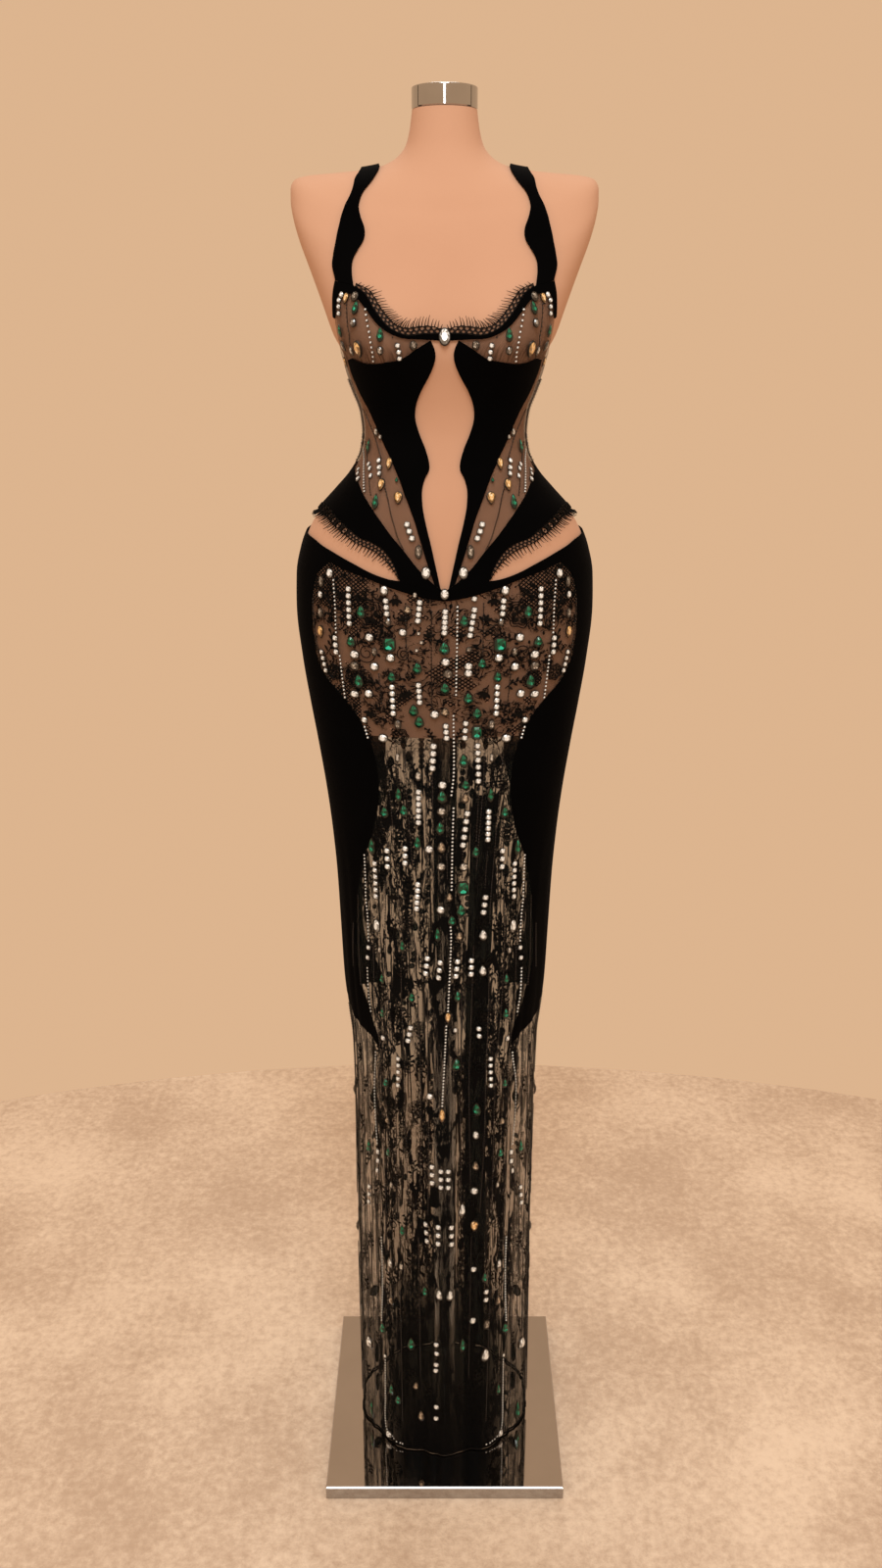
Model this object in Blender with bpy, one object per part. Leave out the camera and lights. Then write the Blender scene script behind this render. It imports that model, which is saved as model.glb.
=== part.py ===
"""Evening dress on a limbless dress form with a pole stand, in metres, +Z up.

The origin is the middle of the base plate's underside. The dress faces -Y, and +X is the
viewer's right. Every piece of cloth is a thin closed wall that follows one figure: a point
on the figure is given by an angle round the body, 0 at the front centre and 90 at the +X
side, and by a level, which is the height of that ring at the front centre.
"""
import math

import bpy
from mathutils import Vector
from mathutils.geometry import delaunay_2d_cdt, intersect_line_line_2d

# Stand and form
PLATE_SIDE = 0.32
PLATE_THICK = 0.02
PLATE_BEVEL = 0.0015
POLE_RADIUS = 0.015
POLE_SIDES = 24
FORM_BOTTOM = 1.058
NECK_TOP = 1.705
CAP_RADIUS = 0.0342
CAP_HEIGHT = 0.0205
CAP_BEVEL = 0.0012
CAP_SIDES = 36
CAP_Y = 0.006
FORM_FRONT = 50
FORM_FRONT_STEP = 5
FORM_BACK_STEP = 20
RING_SAG = 0.0006
RING_TOP = 1.50
TOUCH = 0.0003

# Cloth
CLOTH_CLEAR = 0.0012
MESH_THICK = 0.0012
VELVET_THICK = 0.0016
LACE_THICK = 0.0010
SEAM_GAP = 0.0003
HEM_LEVEL = 0.0235
PLACKET_BOTTOM = 1.130
FLAT_RADIUS = 0.12
EDGE_STEP = 0.011
POINT_SPARE = 0.42
ROW_SPARE = 0.004
SLOPE_STEP = 0.0005

# Figure: one row for each ring
# level, half width, height at the side, y of the widest point, depth before it,
# depth behind it, squareness
FIGURE = (
    (0.020, 0.1160, 0.020, 0.000, 0.1030, 0.1030, 0.00),
    (0.560, 0.1155, 0.560, 0.000, 0.1020, 0.1030, 0.00),
    (0.630, 0.1165, 0.630, 0.000, 0.1010, 0.1030, 0.00),
    (0.675, 0.1210, 0.675, 0.000, 0.1010, 0.1030, 0.00),
    (0.720, 0.1250, 0.720, 0.000, 0.1010, 0.1030, 0.00),
    (0.790, 0.1275, 0.790, 0.000, 0.1000, 0.1030, 0.00),
    (0.860, 0.1305, 0.860, 0.001, 0.0990, 0.1030, 0.00),
    (0.920, 0.1350, 0.920, 0.002, 0.0985, 0.1020, 0.01),
    (0.970, 0.1405, 0.970, 0.004, 0.0980, 0.1010, 0.02),
    (1.030, 0.1490, 1.030, 0.006, 0.0985, 0.1000, 0.03),
    (1.080, 0.1570, 1.080, 0.008, 0.1010, 0.1020, 0.03),
    (1.130, 0.1640, 1.130, 0.009, 0.1050, 0.1080, 0.03),
    (1.190, 0.1690, 1.190, 0.009, 0.1080, 0.1120, 0.03),
    (1.230, 0.1675, 1.230, 0.008, 0.1070, 0.1090, 0.03),
    (1.260, 0.1610, 1.260, 0.006, 0.1030, 0.1000, 0.03),
    (1.280, 0.1530, 1.280, 0.004, 0.0995, 0.0930, 0.03),
    (1.300, 0.1410, 1.300, 0.002, 0.0950, 0.0870, 0.02),
    (1.322, 0.1210, 1.322, 0.000, 0.0890, 0.0800, 0.02),
    (1.343, 0.1025, 1.343, -0.001, 0.0835, 0.0760, 0.02),
    (1.365, 0.0905, 1.365, -0.002, 0.0790, 0.0735, 0.02),
    (1.386, 0.0875, 1.386, -0.002, 0.0775, 0.0735, 0.02),
    (1.407, 0.0895, 1.407, -0.002, 0.0795, 0.0760, 0.03),
    (1.430, 0.0975, 1.430, -0.001, 0.0850, 0.0815, 0.04),
    (1.450, 0.1040, 1.450, 0.000, 0.0900, 0.0860, 0.05),
    (1.468, 0.1085, 1.469, 0.000, 0.0930, 0.0890, 0.06),
    (1.482, 0.1185, 1.487, 0.001, 0.0940, 0.0900, 0.07),
    (1.496, 0.1275, 1.512, 0.002, 0.0935, 0.0900, 0.08),
    (1.510, 0.1365, 1.537, 0.003, 0.0925, 0.0895, 0.08),
    (1.525, 0.1450, 1.560, 0.004, 0.0905, 0.0880, 0.08),
    (1.540, 0.1530, 1.582, 0.005, 0.0880, 0.0860, 0.08),
    (1.555, 0.1585, 1.602, 0.006, 0.0850, 0.0835, 0.08),
    (1.570, 0.1612, 1.619, 0.007, 0.0815, 0.0800, 0.07),
    (1.583, 0.1612, 1.631, 0.008, 0.0780, 0.0765, 0.06),
    (1.595, 0.1565, 1.640, 0.009, 0.0740, 0.0725, 0.05),
    (1.607, 0.1410, 1.644, 0.010, 0.0690, 0.0680, 0.04),
    (1.619, 0.1170, 1.646, 0.010, 0.0640, 0.0630, 0.03),
    (1.631, 0.0900, 1.6485, 0.010, 0.0580, 0.0575, 0.01),
    (1.643, 0.0650, 1.653, 0.009, 0.0515, 0.0515, 0.00),
    (1.655, 0.0495, 1.661, 0.008, 0.0455, 0.0455, 0.00),
    (1.670, 0.0405, 1.672, 0.007, 0.0400, 0.0400, 0.00),
    (1.688, 0.0360, 1.688, 0.006, 0.0360, 0.0360, 0.00),
    (1.705, 0.0336, 1.705, 0.006, 0.0336, 0.0336, 0.00),
)

# Bust: a smooth swelling on each side
BUST_X = 0.060
BUST_LEVEL = 1.478
BUST_LIFT = 0.026
BUST_WIDE = 0.042
BUST_RISE = 0.050
BUST_DROP = 0.036
BUST_SPREAD = 0.2

# Layers: clearance from the figure, thickness
MESH_LAYER = (CLOTH_CLEAR, MESH_THICK)
VELVET_LAYER = (CLOTH_CLEAR, VELVET_THICK)

# Soft folds of the hanging tube: angle, level where it has faded out, half width in
# degrees, height
FOLDS = (
    (-75.0, 0.62, 9, 0.0022), (-52.5, 0.60, 8, -0.0024), (-30.0, 0.98, 7, 0.0030),
    (-15.0, 0.90, 7, -0.0030), (0.0, 1.00, 7, 0.0026), (15.0, 0.94, 7, -0.0034),
    (30.0, 0.99, 8, 0.0032), (45.0, 0.62, 8, -0.0022), (67.5, 0.60, 9, 0.0024),
    (90.0, 0.60, 8, -0.0018), (112.5, 0.62, 9, 0.0022), (135.0, 0.64, 8, -0.0024),
    (150.0, 0.98, 7, 0.0028), (165.0, 0.92, 7, -0.0032), (180.0, 1.00, 7, 0.0026),
    (195.0, 0.95, 7, -0.0028), (210.0, 0.98, 8, 0.0030), (232.5, 0.62, 8, -0.0022),
    (255.0, 0.60, 9, 0.0022), (270.0, 0.60, 8, -0.0018),
)
FOLD_FADE = 0.25

# Below this level the velvet side has the same edge behind as in front
VELVET_ALIKE = 1.1942

# Edges of the pattern pieces on the +X side: angle in degrees, level
EDGES = {
    "edging_top": ((30.0, 1.5250), (25.5, 1.5190), (23.3, 1.5085), (20.6, 1.4980),
                   (17.6, 1.4900), (13.4, 1.4860), (8.0, 1.4875), (0.0, 1.4885)),
    "edging_bottom": ((38.7, 1.5160), (31.0, 1.5160), (26.6, 1.5063), (23.4, 1.4958),
                      (19.6, 1.4880), (15.1, 1.4832), (10.6, 1.4826), (5.5, 1.4820)),
    "edging_middle": ((5.5, 1.4820), (0.0, 1.4812)),
    "strap_end": ((30.0, 1.5250), (39.2, 1.5250)),
    "armhole_top": ((39.2, 1.5250), (42.3, 1.5165), (46.5, 1.5055), (51.0, 1.4955)),
    "binding_bottom": ((38.7, 1.5160), (42.0, 1.5090), (46.0, 1.5000), (49.6, 1.4945)),
    "cup_side": ((49.6, 1.4945), (53.5, 1.4860), (58.0, 1.4780)),
    "cup_corner": ((58.0, 1.4780), (62.0, 1.4700), (65.0, 1.4625)),
    "cup_seam": ((5.5, 1.4820), (11.0, 1.4745), (17.9, 1.4655), (25.0, 1.4622),
                 (33.0, 1.4604), (40.0, 1.4610), (50.0, 1.4645), (58.0, 1.4632)),
    "cup_seam_end": ((58.0, 1.4632), (65.0, 1.4625)),
    "keyhole": ((5.5, 1.4820), (4.0, 1.4705), (4.7, 1.4604), (7.7, 1.4470),
                (12.7, 1.4311), (16.9, 1.4151), (17.9, 1.4030), (16.1, 1.3888),
                (12.1, 1.3737), (9.3, 1.3597), (8.9, 1.3517), (10.6, 1.3437),
                (11.3, 1.3336), (10.0, 1.3178), (7.7, 1.2999), (5.1, 1.2788),
                (2.9, 1.2520), (1.3, 1.2292)),
    "front_tip": ((1.3, 1.2292), (3.4, 1.2335)),
    "front_side": ((58.0, 1.4632), (59.5, 1.4480), (59.0, 1.4270), (55.0, 1.4070),
                   (46.5, 1.3830), (35.7, 1.3620), (23.7, 1.3370), (14.5, 1.3096),
                   (9.5, 1.2847), (6.2, 1.2582), (3.4, 1.2335)),
    "side_seam": ((65.0, 1.4625), (75.0, 1.4520), (84.0, 1.4320), (88.0, 1.4050),
                  (88.0, 1.3515)),
    "sweep_top": ((88.0, 1.3515), (68.0, 1.3425), (51.7, 1.3317), (34.3, 1.3119),
                  (22.4, 1.2899), (14.7, 1.2702), (8.8, 1.2498), (3.4, 1.2335)),
    "sweep_back": ((88.0, 1.3515), (110.0, 1.3500), (140.0, 1.3480), (176.0, 1.3460)),
    "sweep_tip": ((1.3, 1.2292), (0.0, 1.2250), (0.0, 1.2200)),
    "sweep_joint": ((0.0, 1.2200), (4.7, 1.2265), (10.0, 1.2320), (15.0, 1.2370)),
    "cutout_top": ((15.0, 1.2370), (16.2, 1.2473), (18.7, 1.2596), (22.1, 1.2697),
                   (27.5, 1.2773), (33.2, 1.2812), (39.2, 1.2877), (50.1, 1.2971),
                   (63.4, 1.3055), (79.7, 1.3075), (100.0, 1.3040), (125.0, 1.2930),
                   (140.0, 1.2830), (148.0, 1.2760)),
    "cutout_bottom_front": ((15.0, 1.2370), (19.0, 1.2385), (25.6, 1.2443),
                            (34.0, 1.2536), (45.0, 1.2635), (52.0, 1.2680)),
    "cutout_bottom_side": ((52.0, 1.2680), (64.0, 1.2740), (85.0, 1.2765),
                           (110.0, 1.2785), (134.0, 1.2785)),
    "cutout_bottom_back": ((134.0, 1.2785), (141.0, 1.2775), (148.0, 1.2760)),
    "sweep_joint_back": ((148.0, 1.2760), (162.0, 1.2715), (176.0, 1.2690)),
    "band_end": ((52.0, 1.2680), (46.4, 1.2533)),
    "band_bottom": ((46.4, 1.2533), (37.2, 1.2457), (27.8, 1.2388), (20.2, 1.2313),
                    (11.2, 1.2225), (4.4, 1.2172), (0.0, 1.2155)),
    "velvet_front": ((46.4, 1.2533), (52.6, 1.2401), (56.2, 1.2185), (56.8, VELVET_ALIKE),
                     (57.0, 1.1695), (56.4, 1.1458), (52.7, 1.1266), (46.4, 1.1116),
                     (39.9, 1.0963), (35.1, 1.0801), (32.0, 1.0634), (29.6, 1.0453),
                     (28.4, 1.0280), (28.4, 1.0080), (29.6, 0.9840), (32.4, 0.9602),
                     (36.9, 0.9343), (43.4, 0.9067), (49.0, 0.8760), (53.0, 0.8450),
                     (55.6, 0.8100), (56.8, 0.7704), (55.3, 0.7382), (52.1, 0.7210),
                     (48.7, 0.7026), (45.4, 0.6830), (41.8, 0.6600), (40.5, 0.6476)),
    "velvet_hem": ((40.5, 0.6476), (43.8, 0.6530), (48.1, 0.6605), (54.4, 0.6661),
                   (63.6, 0.6710), (72.0, 0.6780), (82.0, 0.6930), (90.0, 0.7000)),
    "velvet_back_top": ((134.0, 1.2785), (128.0, 1.2600), (124.5, 1.2400),
                        (123.2, VELVET_ALIKE)),
    "back_top": ((58.0, 1.4780), (70.0, 1.4700), (90.0, 1.4620), (125.0, 1.4540),
                 (155.0, 1.4500), (176.0, 1.4490)),
    "back_centre": ((176.0, 1.4490), (176.0, 1.3460)),
    "sweep_centre": ((176.0, 1.3460), (176.0, 1.2690)),
    "skirt_slot": ((176.0, 1.2690), (176.0, PLACKET_BOTTOM)),
    "slot_end": ((176.0, PLACKET_BOTTOM), (180.0, PLACKET_BOTTOM)),
    "tube_seam": ((90.0, 0.7000), (90.0, HEM_LEVEL)),
    "hem_front": ((90.0, HEM_LEVEL), (0.0, HEM_LEVEL)),
    "hem_back": ((90.0, HEM_LEVEL), (180.0, HEM_LEVEL)),
}
EDGE_STEPS = {"edging_top": 0.006, "edging_bottom": 0.006, "cup_seam": 0.009,
              "keyhole": 0.009, "tube_seam": 0.13, "hem_front": 0.0157,
              "hem_back": 0.0157, "velvet_front": 0.026, "velvet_back_top": 0.026,
              "back_top": 0.018, "sweep_back": 0.018, "sweep_joint_back": 0.018}
PLUMB = ("back_centre", "sweep_centre", "skirt_slot")

# Strap: level, x of the inner edge, x of the outer edge, at the front and at the back
STRAP_FRONT = (
    (1.5265, 0.0915, 0.1095), (1.5370, 0.0930, 0.1125), (1.5475, 0.0922, 0.1115),
    (1.5585, 0.0870, 0.1095), (1.5690, 0.0812, 0.1075), (1.5795, 0.0805, 0.1050),
    (1.5900, 0.0848, 0.1020), (1.6020, 0.0860, 0.0968), (1.6130, 0.0815, 0.0925),
    (1.6230, 0.0740, 0.0895),
)
# Strap over the front of the shoulder: angle and level of the inner and the outer edge
STRAP_RIDGE = (
    (51.4, 1.6326, 61.8, 1.6277), (62.0, 1.6375, 70.0, 1.6305),
    (71.0, 1.6398, 76.5, 1.6318), (80.5, 1.6408, 83.5, 1.6324), (90.0, 1.6410, 90.0, 1.6325),
)
STRAP_BACK = (
    (1.6260, 0.0722, 0.0900), (1.6190, 0.0715, 0.0897), (1.6110, 0.0705, 0.0888),
    (1.6010, 0.0690, 0.0875), (1.5860, 0.0667, 0.0857), (1.5700, 0.0640, 0.0835),
    (1.5400, 0.0600, 0.0800), (1.5100, 0.0575, 0.0775), (1.4950, 0.0566, 0.0766),
    (1.4800, 0.0560, 0.0760), (1.4520, 0.0550, 0.0750),
)
STRAP_ACROSS = 2
STRAP_CLEAR = 0.0016

# Trim with eyelashes
CUP_TRIM_DEPTH = 0.0068
CUP_LASH = 0.0075
CUP_LASHES = 28
HIP_TRIM_DEPTH = 0.0085
HIP_LASH = 0.0095
HIP_LASHES = 36
HIP_TRIM_END = 112.0
LASH_WIDTH = 0.0013
LASH_LEAN = 0.0012
LASH_LIFT = 0.0025
TRIM_HOLE = 0.0042
TRIM_HOLES = 9
HOLE_SIDES = 5
HOLE_RIM = 0.0012
TRIM_FADE = 0.020
TRIM_NARROW = 0.45
TRIM_SHARE = 0.62
TRIM_SMOOTH = 0.012
TRIM_MARGIN = 0.004
TRIM_END = 0.0015

# Facing of the back vent, seen through the skirt: its edges, top and bottom
FACING_ANGLES = (150.0, 165.0)
FACING_LEVELS = (0.920, 0.026)
FACING_GAP = 0.0009

# Stones: angle, level, width, height
STONE_SIDES = 6
STONE_RISE = 0.36
STONE_SPARE = 0.75
SETTING_THICK = 0.0022
SETTING_SIDES = 12
SETTING_TABLE = 0.6
CENTRE_STONES = {
    "bust_stone": (0.0, 1.4850, 0.0115, 0.0170),
    "hip_stone": (0.0, 1.2235, 0.0090, 0.0115),
}
CUP_STONES = (
    (38.9, 1.4740, 0.0098, 0.0150), (31.2, 1.5055, 0.0062, 0.0108),
    (34.5, 1.4938, 0.0072, 0.0080), (23.0, 1.4859, 0.0062, 0.0108),
)
SIDE_STONES = (
    (62.2, 1.3735, 0.0056, 0.0115), (35.9, 1.3574, 0.0074, 0.0125),
    (36.5, 1.3347, 0.0084, 0.0125), (22.6, 1.3232, 0.0090, 0.0120),
    (33.7, 1.3176, 0.0064, 0.0125), (9.4, 1.2690, 0.0070, 0.0120),
)
# On both sides of the skirt's front
SKIRT_STONES = (
    (29.4, 1.2020, 0.0085, 0.0118), (50.3, 1.1747, 0.0078, 0.0130),
    (26.3, 1.1744, 0.0086, 0.0086), (34.2, 1.1685, 0.0086, 0.0096),
    (32.7, 1.1548, 0.0096, 0.0086), (33.8, 1.1400, 0.0094, 0.0094),
    (32.3, 1.1235, 0.0086, 0.0130), (25.1, 1.1406, 0.0086, 0.0086),
    (35.2, 1.1075, 0.0096, 0.0080), (28.5, 1.1095, 0.0088, 0.0088),
    (20.5, 1.2250, 0.0084, 0.0094), (18.9, 1.1680, 0.0118, 0.0136),
    (18.7, 1.1525, 0.0086, 0.0086), (18.7, 1.1303, 0.0078, 0.0098),
    (24.1, 1.0568, 0.0100, 0.0090), (37.2, 0.9208, 0.0070, 0.0170),
    (37.9, 0.8191, 0.0094, 0.0164), (56.5, 0.4910, 0.0076, 0.0166),
    (36.1, 0.3270, 0.0078, 0.0118), (2.8, 0.2955, 0.0084, 0.0150),
    (35.6, 0.2682, 0.0092, 0.0118), (45.5, 0.2104, 0.0092, 0.0134),
    (61.5, 0.1643, 0.0126, 0.0160), (37.8, 0.1128, 0.0070, 0.0150),
    (59.5, 0.0480, 0.0084, 0.0270),
)
# Once each on the skirt's front, between the others
CENTRE_DROPS = (
    (-14.0, 1.1812, 0.0086, 0.0086), (6.2, 1.1943, 0.0085, 0.0106),
    (0.0, 1.1644, 0.0096, 0.0116), (0.3, 1.1490, 0.0086, 0.0086),
    (1.1, 1.1343, 0.0096, 0.0096), (0.1, 1.1178, 0.0086, 0.0108),
    (8.1, 1.1430, 0.0096, 0.0076), (12.8, 1.1460, 0.0076, 0.0098),
    (-9.3, 1.1410, 0.0086, 0.0108), (-11.2, 1.0925, 0.0088, 0.0108),
    (-8.6, 1.0780, 0.0088, 0.0108), (-3.6, 1.0867, 0.0088, 0.0088),
    (8.4, 1.1061, 0.0088, 0.0110), (11.8, 1.0888, 0.0088, 0.0108),
    (12.0, 1.0649, 0.0100, 0.0142), (-0.9, 1.0045, 0.0088, 0.0088),
    (-1.1, 0.9891, 0.0090, 0.0122), (-1.9, 0.9513, 0.0080, 0.0124),
    (-1.4, 0.9283, 0.0090, 0.0125), (7.3, 1.0316, 0.0078, 0.0132),
    (8.5, 1.0028, 0.0080, 0.0100), (8.7, 0.9869, 0.0078, 0.0112),
    (-17.9, 0.9714, 0.0080, 0.0124), (-12.5, 0.9325, 0.0068, 0.0136),
    (9.1, 0.8759, 0.0116, 0.0148), (8.3, 0.8483, 0.0092, 0.0126),
    (-1.7, 0.8495, 0.0092, 0.0092), (21.1, 0.8139, 0.0094, 0.0128),
    (21.6, 0.7672, 0.0094, 0.0128), (1.5, 0.7085, 0.0072, 0.0142),
    (6.0, 0.6418, 0.0096, 0.0144), (21.0, 0.5730, 0.0086, 0.0134),
    (-1.5, 0.5711, 0.0074, 0.0170), (10.4, 0.4248, 0.0100, 0.0176),
    (19.9, 0.3969, 0.0102, 0.0152), (-22.6, 0.2061, 0.0080, 0.0158),
    (11.4, 0.2063, 0.0068, 0.0170), (26.9, 0.1859, 0.0118, 0.0190),
    (-16.3, 0.0817, 0.0082, 0.0160),
)

# Material: colour, roughness, metallic
FINISH = {
    "form_jersey": ((0.72, 0.47, 0.34), 0.85, 0.0),
    "chrome": ((0.75, 0.74, 0.72), 0.12, 1.0),
    "mirror_steel": ((0.62, 0.60, 0.57), 0.06, 1.0),
    "black_velvet": ((0.008, 0.008, 0.010), 0.90, 0.0),
    "nude_mesh": ((0.24, 0.14, 0.10), 0.70, 0.0),
    "lace_mesh": ((0.08, 0.05, 0.04), 0.60, 0.0),
    "black_lace": ((0.02, 0.015, 0.015), 0.80, 0.0),
    "crystal": ((0.85, 0.83, 0.78), 0.05, 0.0),
}


def clear_scene():
    """Removes whatever the file holds at the start."""
    for thing in list(bpy.data.objects):
        bpy.data.objects.remove(thing, do_unlink=True)


def material(name):
    """The material of that name, made on its first use."""
    if name in bpy.data.materials:
        return bpy.data.materials[name]
    colour, roughness, metallic = FINISH[name]
    made = bpy.data.materials.new(name)
    made.use_nodes = True
    shader = made.node_tree.nodes["Principled BSDF"]
    shader.inputs["Base Color"].default_value = (*colour, 1.0)
    shader.inputs["Roughness"].default_value = roughness
    shader.inputs["Metallic"].default_value = metallic
    return made


def add_object(name, points, faces, finish, smooth=35.0):
    """One closed mesh as an object."""
    mesh = bpy.data.meshes.new(name)
    mesh.from_pydata([tuple(point) for point in points], [], faces)
    mesh.update()
    mesh.shade_smooth()
    mesh.set_sharp_from_angle(angle=math.radians(smooth))
    mesh.materials.append(material(finish))
    made = bpy.data.objects.new(name, mesh)
    bpy.context.scene.collection.objects.link(made)
    return made


def steps(low, high, step):
    """Levels from low to high."""
    return tuple(low + k * step for k in range(int((high - low) / step) + 1))


def smooth_step(value):
    """0 below 0, 1 above 1, smooth between."""
    value = min(1.0, max(0.0, value))
    return value * value * (3.0 - 2.0 * value)


def read_rows(rows, key):
    """Values of a table at a key, on a smooth curve that never overshoots its rows."""
    last = len(rows) - 1
    if key <= rows[0][0]:
        return rows[0][1:]
    if key >= rows[last][0]:
        return rows[last][1:]
    low = max(i for i in range(last) if rows[i][0] <= key)
    here, there = rows[low], rows[low + 1]
    before = rows[low - 1] if low > 0 else None
    after = rows[low + 2] if low + 2 <= last else None
    span = there[0] - here[0]
    t = (key - here[0]) / span
    values = []
    for column in range(1, len(here)):
        slope = (there[column] - here[column]) / span
        start = slope
        if before:
            start = (here[column] - before[column]) / (here[0] - before[0])
        end = slope
        if after:
            end = (after[column] - there[column]) / (after[0] - there[0])
        start = 2 * start * slope / (start + slope) if start * slope > 0 else 0.0
        end = 2 * end * slope / (end + slope) if end * slope > 0 else 0.0
        values.append(
            (2 * t ** 3 - 3 * t ** 2 + 1) * here[column]
            + (t ** 3 - 2 * t ** 2 + t) * span * start
            + (3 * t ** 2 - 2 * t ** 3) * there[column]
            + (t ** 3 - t ** 2) * span * end
        )
    return values


def fold_height(angle, level):
    """How far the hanging tube stands out at a fold."""
    height = 0.0
    for fold_angle, top, half_width, rise in FOLDS:
        if level < top:
            away = (math.degrees(angle) - fold_angle + 180.0) % 360.0 - 180.0
            fade = smooth_step((top - level) / FOLD_FADE)
            height += rise * fade * math.exp(-(away / half_width) ** 2)
    return height


def figure_point(angle, level):
    """A point of the figure, from its angle in radians and its level."""
    half, side_height, middle, front, back, square = read_rows(FIGURE, level)
    sine, cosine = math.sin(angle), math.cos(angle)
    out = fold_height(angle, level)
    x = (half + out) * ((1 + square) * sine + square * math.sin(3 * angle))
    depth = (front if cosine > 0 else back) + out
    y = middle - depth * ((1 + square) * cosine - square * math.cos(3 * angle))
    z = level + (side_height - level) * sine * sine
    if cosine > 0:
        across = sum(math.exp(-((x - side) / BUST_WIDE) ** 2) for side in (-BUST_X, BUST_X))
        along = level - BUST_LEVEL
        along /= BUST_RISE if along > 0 else BUST_DROP
        lift = BUST_LIFT * across * math.exp(-along ** 2) * smooth_step(cosine * 3)
        y -= lift
        x += math.copysign(BUST_SPREAD * lift, x) * smooth_step(abs(x) / BUST_X)
    return Vector((x, y, z))


def form_levels():
    """Levels of the form's rings, with one more wherever the profile bends strongly."""
    levels = [FORM_BOTTOM] + [row[0] for row in FIGURE if row[0] > FORM_BOTTOM]
    more = []
    for low, high in zip(levels, levels[1:]):
        middle = (low + high) / 2
        if middle > RING_TOP:
            break
        for angle in (math.radians(turn) for turn in range(0, 181, 30)):
            chord = (figure_point(angle, low) + figure_point(angle, high)) / 2
            if (figure_point(angle, middle) - chord).length > RING_SAG:
                more.append(middle)
                break
    return tuple(sorted(levels + more))


# Grids of points inside the walls: step of the angle in degrees, levels of the rows
RINGS = form_levels()
GRID = (10.0, RINGS)
FINE_GRID = (5.0, RINGS)
BACK_GRID = (12.0, RINGS)
SKIRT_GRID = (7.5, steps(0.045, 0.50, 0.14) + steps(0.62, 1.03, 0.055) + RINGS)


def slopes(angle, level):
    """How the figure's point moves with the angle and with the level."""
    step = SLOPE_STEP
    by_angle = figure_point(angle + step, level) - figure_point(angle - step, level)
    by_level = figure_point(angle, level + step) - figure_point(angle, level - step)
    return by_angle / (2 * step), by_level / (2 * step)


def on_figure(spot, out):
    """The point at an angle in degrees and a level, moved out from the figure."""
    angle, level = math.radians(spot[0]), spot[1]
    by_angle, by_level = slopes(angle, level)
    return figure_point(angle, level) + by_angle.cross(by_level).normalized() * out


def moved(spot, right, up):
    """The spot that lies so many metres to the right and up along the figure."""
    by_angle, by_level = slopes(math.radians(spot[0]), spot[1])
    angle = spot[0] + math.degrees(right / by_angle.length)
    return (angle, spot[1] + up / by_level.length)


def flat(spot):
    """The spot on an unrolled sheet, for its triangles."""
    return Vector((math.radians(spot[0]) * FLAT_RADIUS, spot[1]))


def curve(points, step=EDGE_STEP):
    """Spots on a smooth curve through the given ones, about one step apart."""
    if len(points) == 2:
        count = max(1, round((flat(points[1]) - flat(points[0])).length / step))
        return [
            tuple(points[0][k] + (points[1][k] - points[0][k]) * i / count for k in (0, 1))
            for i in range(count + 1)
        ]
    spots = []
    for i in range(len(points) - 1):
        a, b = points[i], points[i + 1]
        before = points[i - 1] if i > 0 else a
        after = points[i + 2] if i + 2 < len(points) else b
        length = (flat(b) - flat(a)).length
        count = max(1, round(length / step))
        pull_a = length / max(length, (flat(a) - flat(before)).length + length)
        pull_b = length / max(length, (flat(after) - flat(b)).length + length)
        for j in range(count):
            t = j / count
            spot = []
            for k in (0, 1):
                start = (b[k] - before[k]) * pull_a
                end = (after[k] - a[k]) * pull_b
                spot.append(
                    (2 * t ** 3 - 3 * t ** 2 + 1) * a[k] + (t ** 3 - 2 * t ** 2 + t) * start
                    + (3 * t ** 2 - 2 * t ** 3) * b[k] + (t ** 3 - t ** 2) * end
                )
            spots.append(tuple(spot))
    spots.append(tuple(points[-1]))
    return spots


def plumb(angle, high, low, rows):
    """Spots down a line of one angle, at its ends and at each row between."""
    between = [level for level in rows if low + ROW_SPARE < level < high - ROW_SPARE]
    return [(angle, level) for level in [high] + between[::-1] + [low]]


def back_edge(name):
    """A side edge repeated behind the body."""
    return [(180.0 - angle, level) for angle, level in edge(name)]


def edge(name):
    """The spots along a named edge."""
    if name == "velvet_back":
        lower = [spot for spot in back_edge("velvet_front") if spot[1] < VELVET_ALIKE - ROW_SPARE]
        return edge("velvet_back_top") + lower
    if name == "velvet_hem_back":
        return back_edge("velvet_hem")
    if name in PLUMB:
        (angle, high), (_, low) = EDGES[name]
        return plumb(angle, high, low, RINGS)
    return curve(EDGES[name], EDGE_STEPS.get(name, EDGE_STEP))


def chain(*names):
    """Edges one after another; a name after a minus runs backwards."""
    spots = []
    for name in names:
        run = edge(name.lstrip("-"))
        if name.startswith("-"):
            run = run[::-1]
        for spot in run:
            if not spots or (flat(spot) - flat(spots[-1])).length > 1e-6:
                spots.append(spot)
    return spots


def closed(spots):
    """The outline without a last point that repeats the first one, turned left-handed."""
    if (flat(spots[0]) - flat(spots[-1])).length < 1e-6:
        spots = spots[:-1]
    return spots if area([flat(spot) for spot in spots]) > 0 else spots[::-1]


def mirrored(spots, middle=0.0):
    """The same spots on the other side of the front centre or of another angle."""
    return [(2 * middle - angle, level) for angle, level in reversed(spots)]


def whole(half, middle=0.0):
    """An outline over the centre line, from the half that starts and ends on it."""
    return half + mirrored(half, middle)[1:]


def area(loop):
    """Signed area of a loop on the unrolled sheet, positive when it runs left-handed."""
    total = 0.0
    for i, point in enumerate(loop):
        after = loop[(i + 1) % len(loop)]
        total += point.x * after.y - after.x * point.y
    return total / 2


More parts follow.
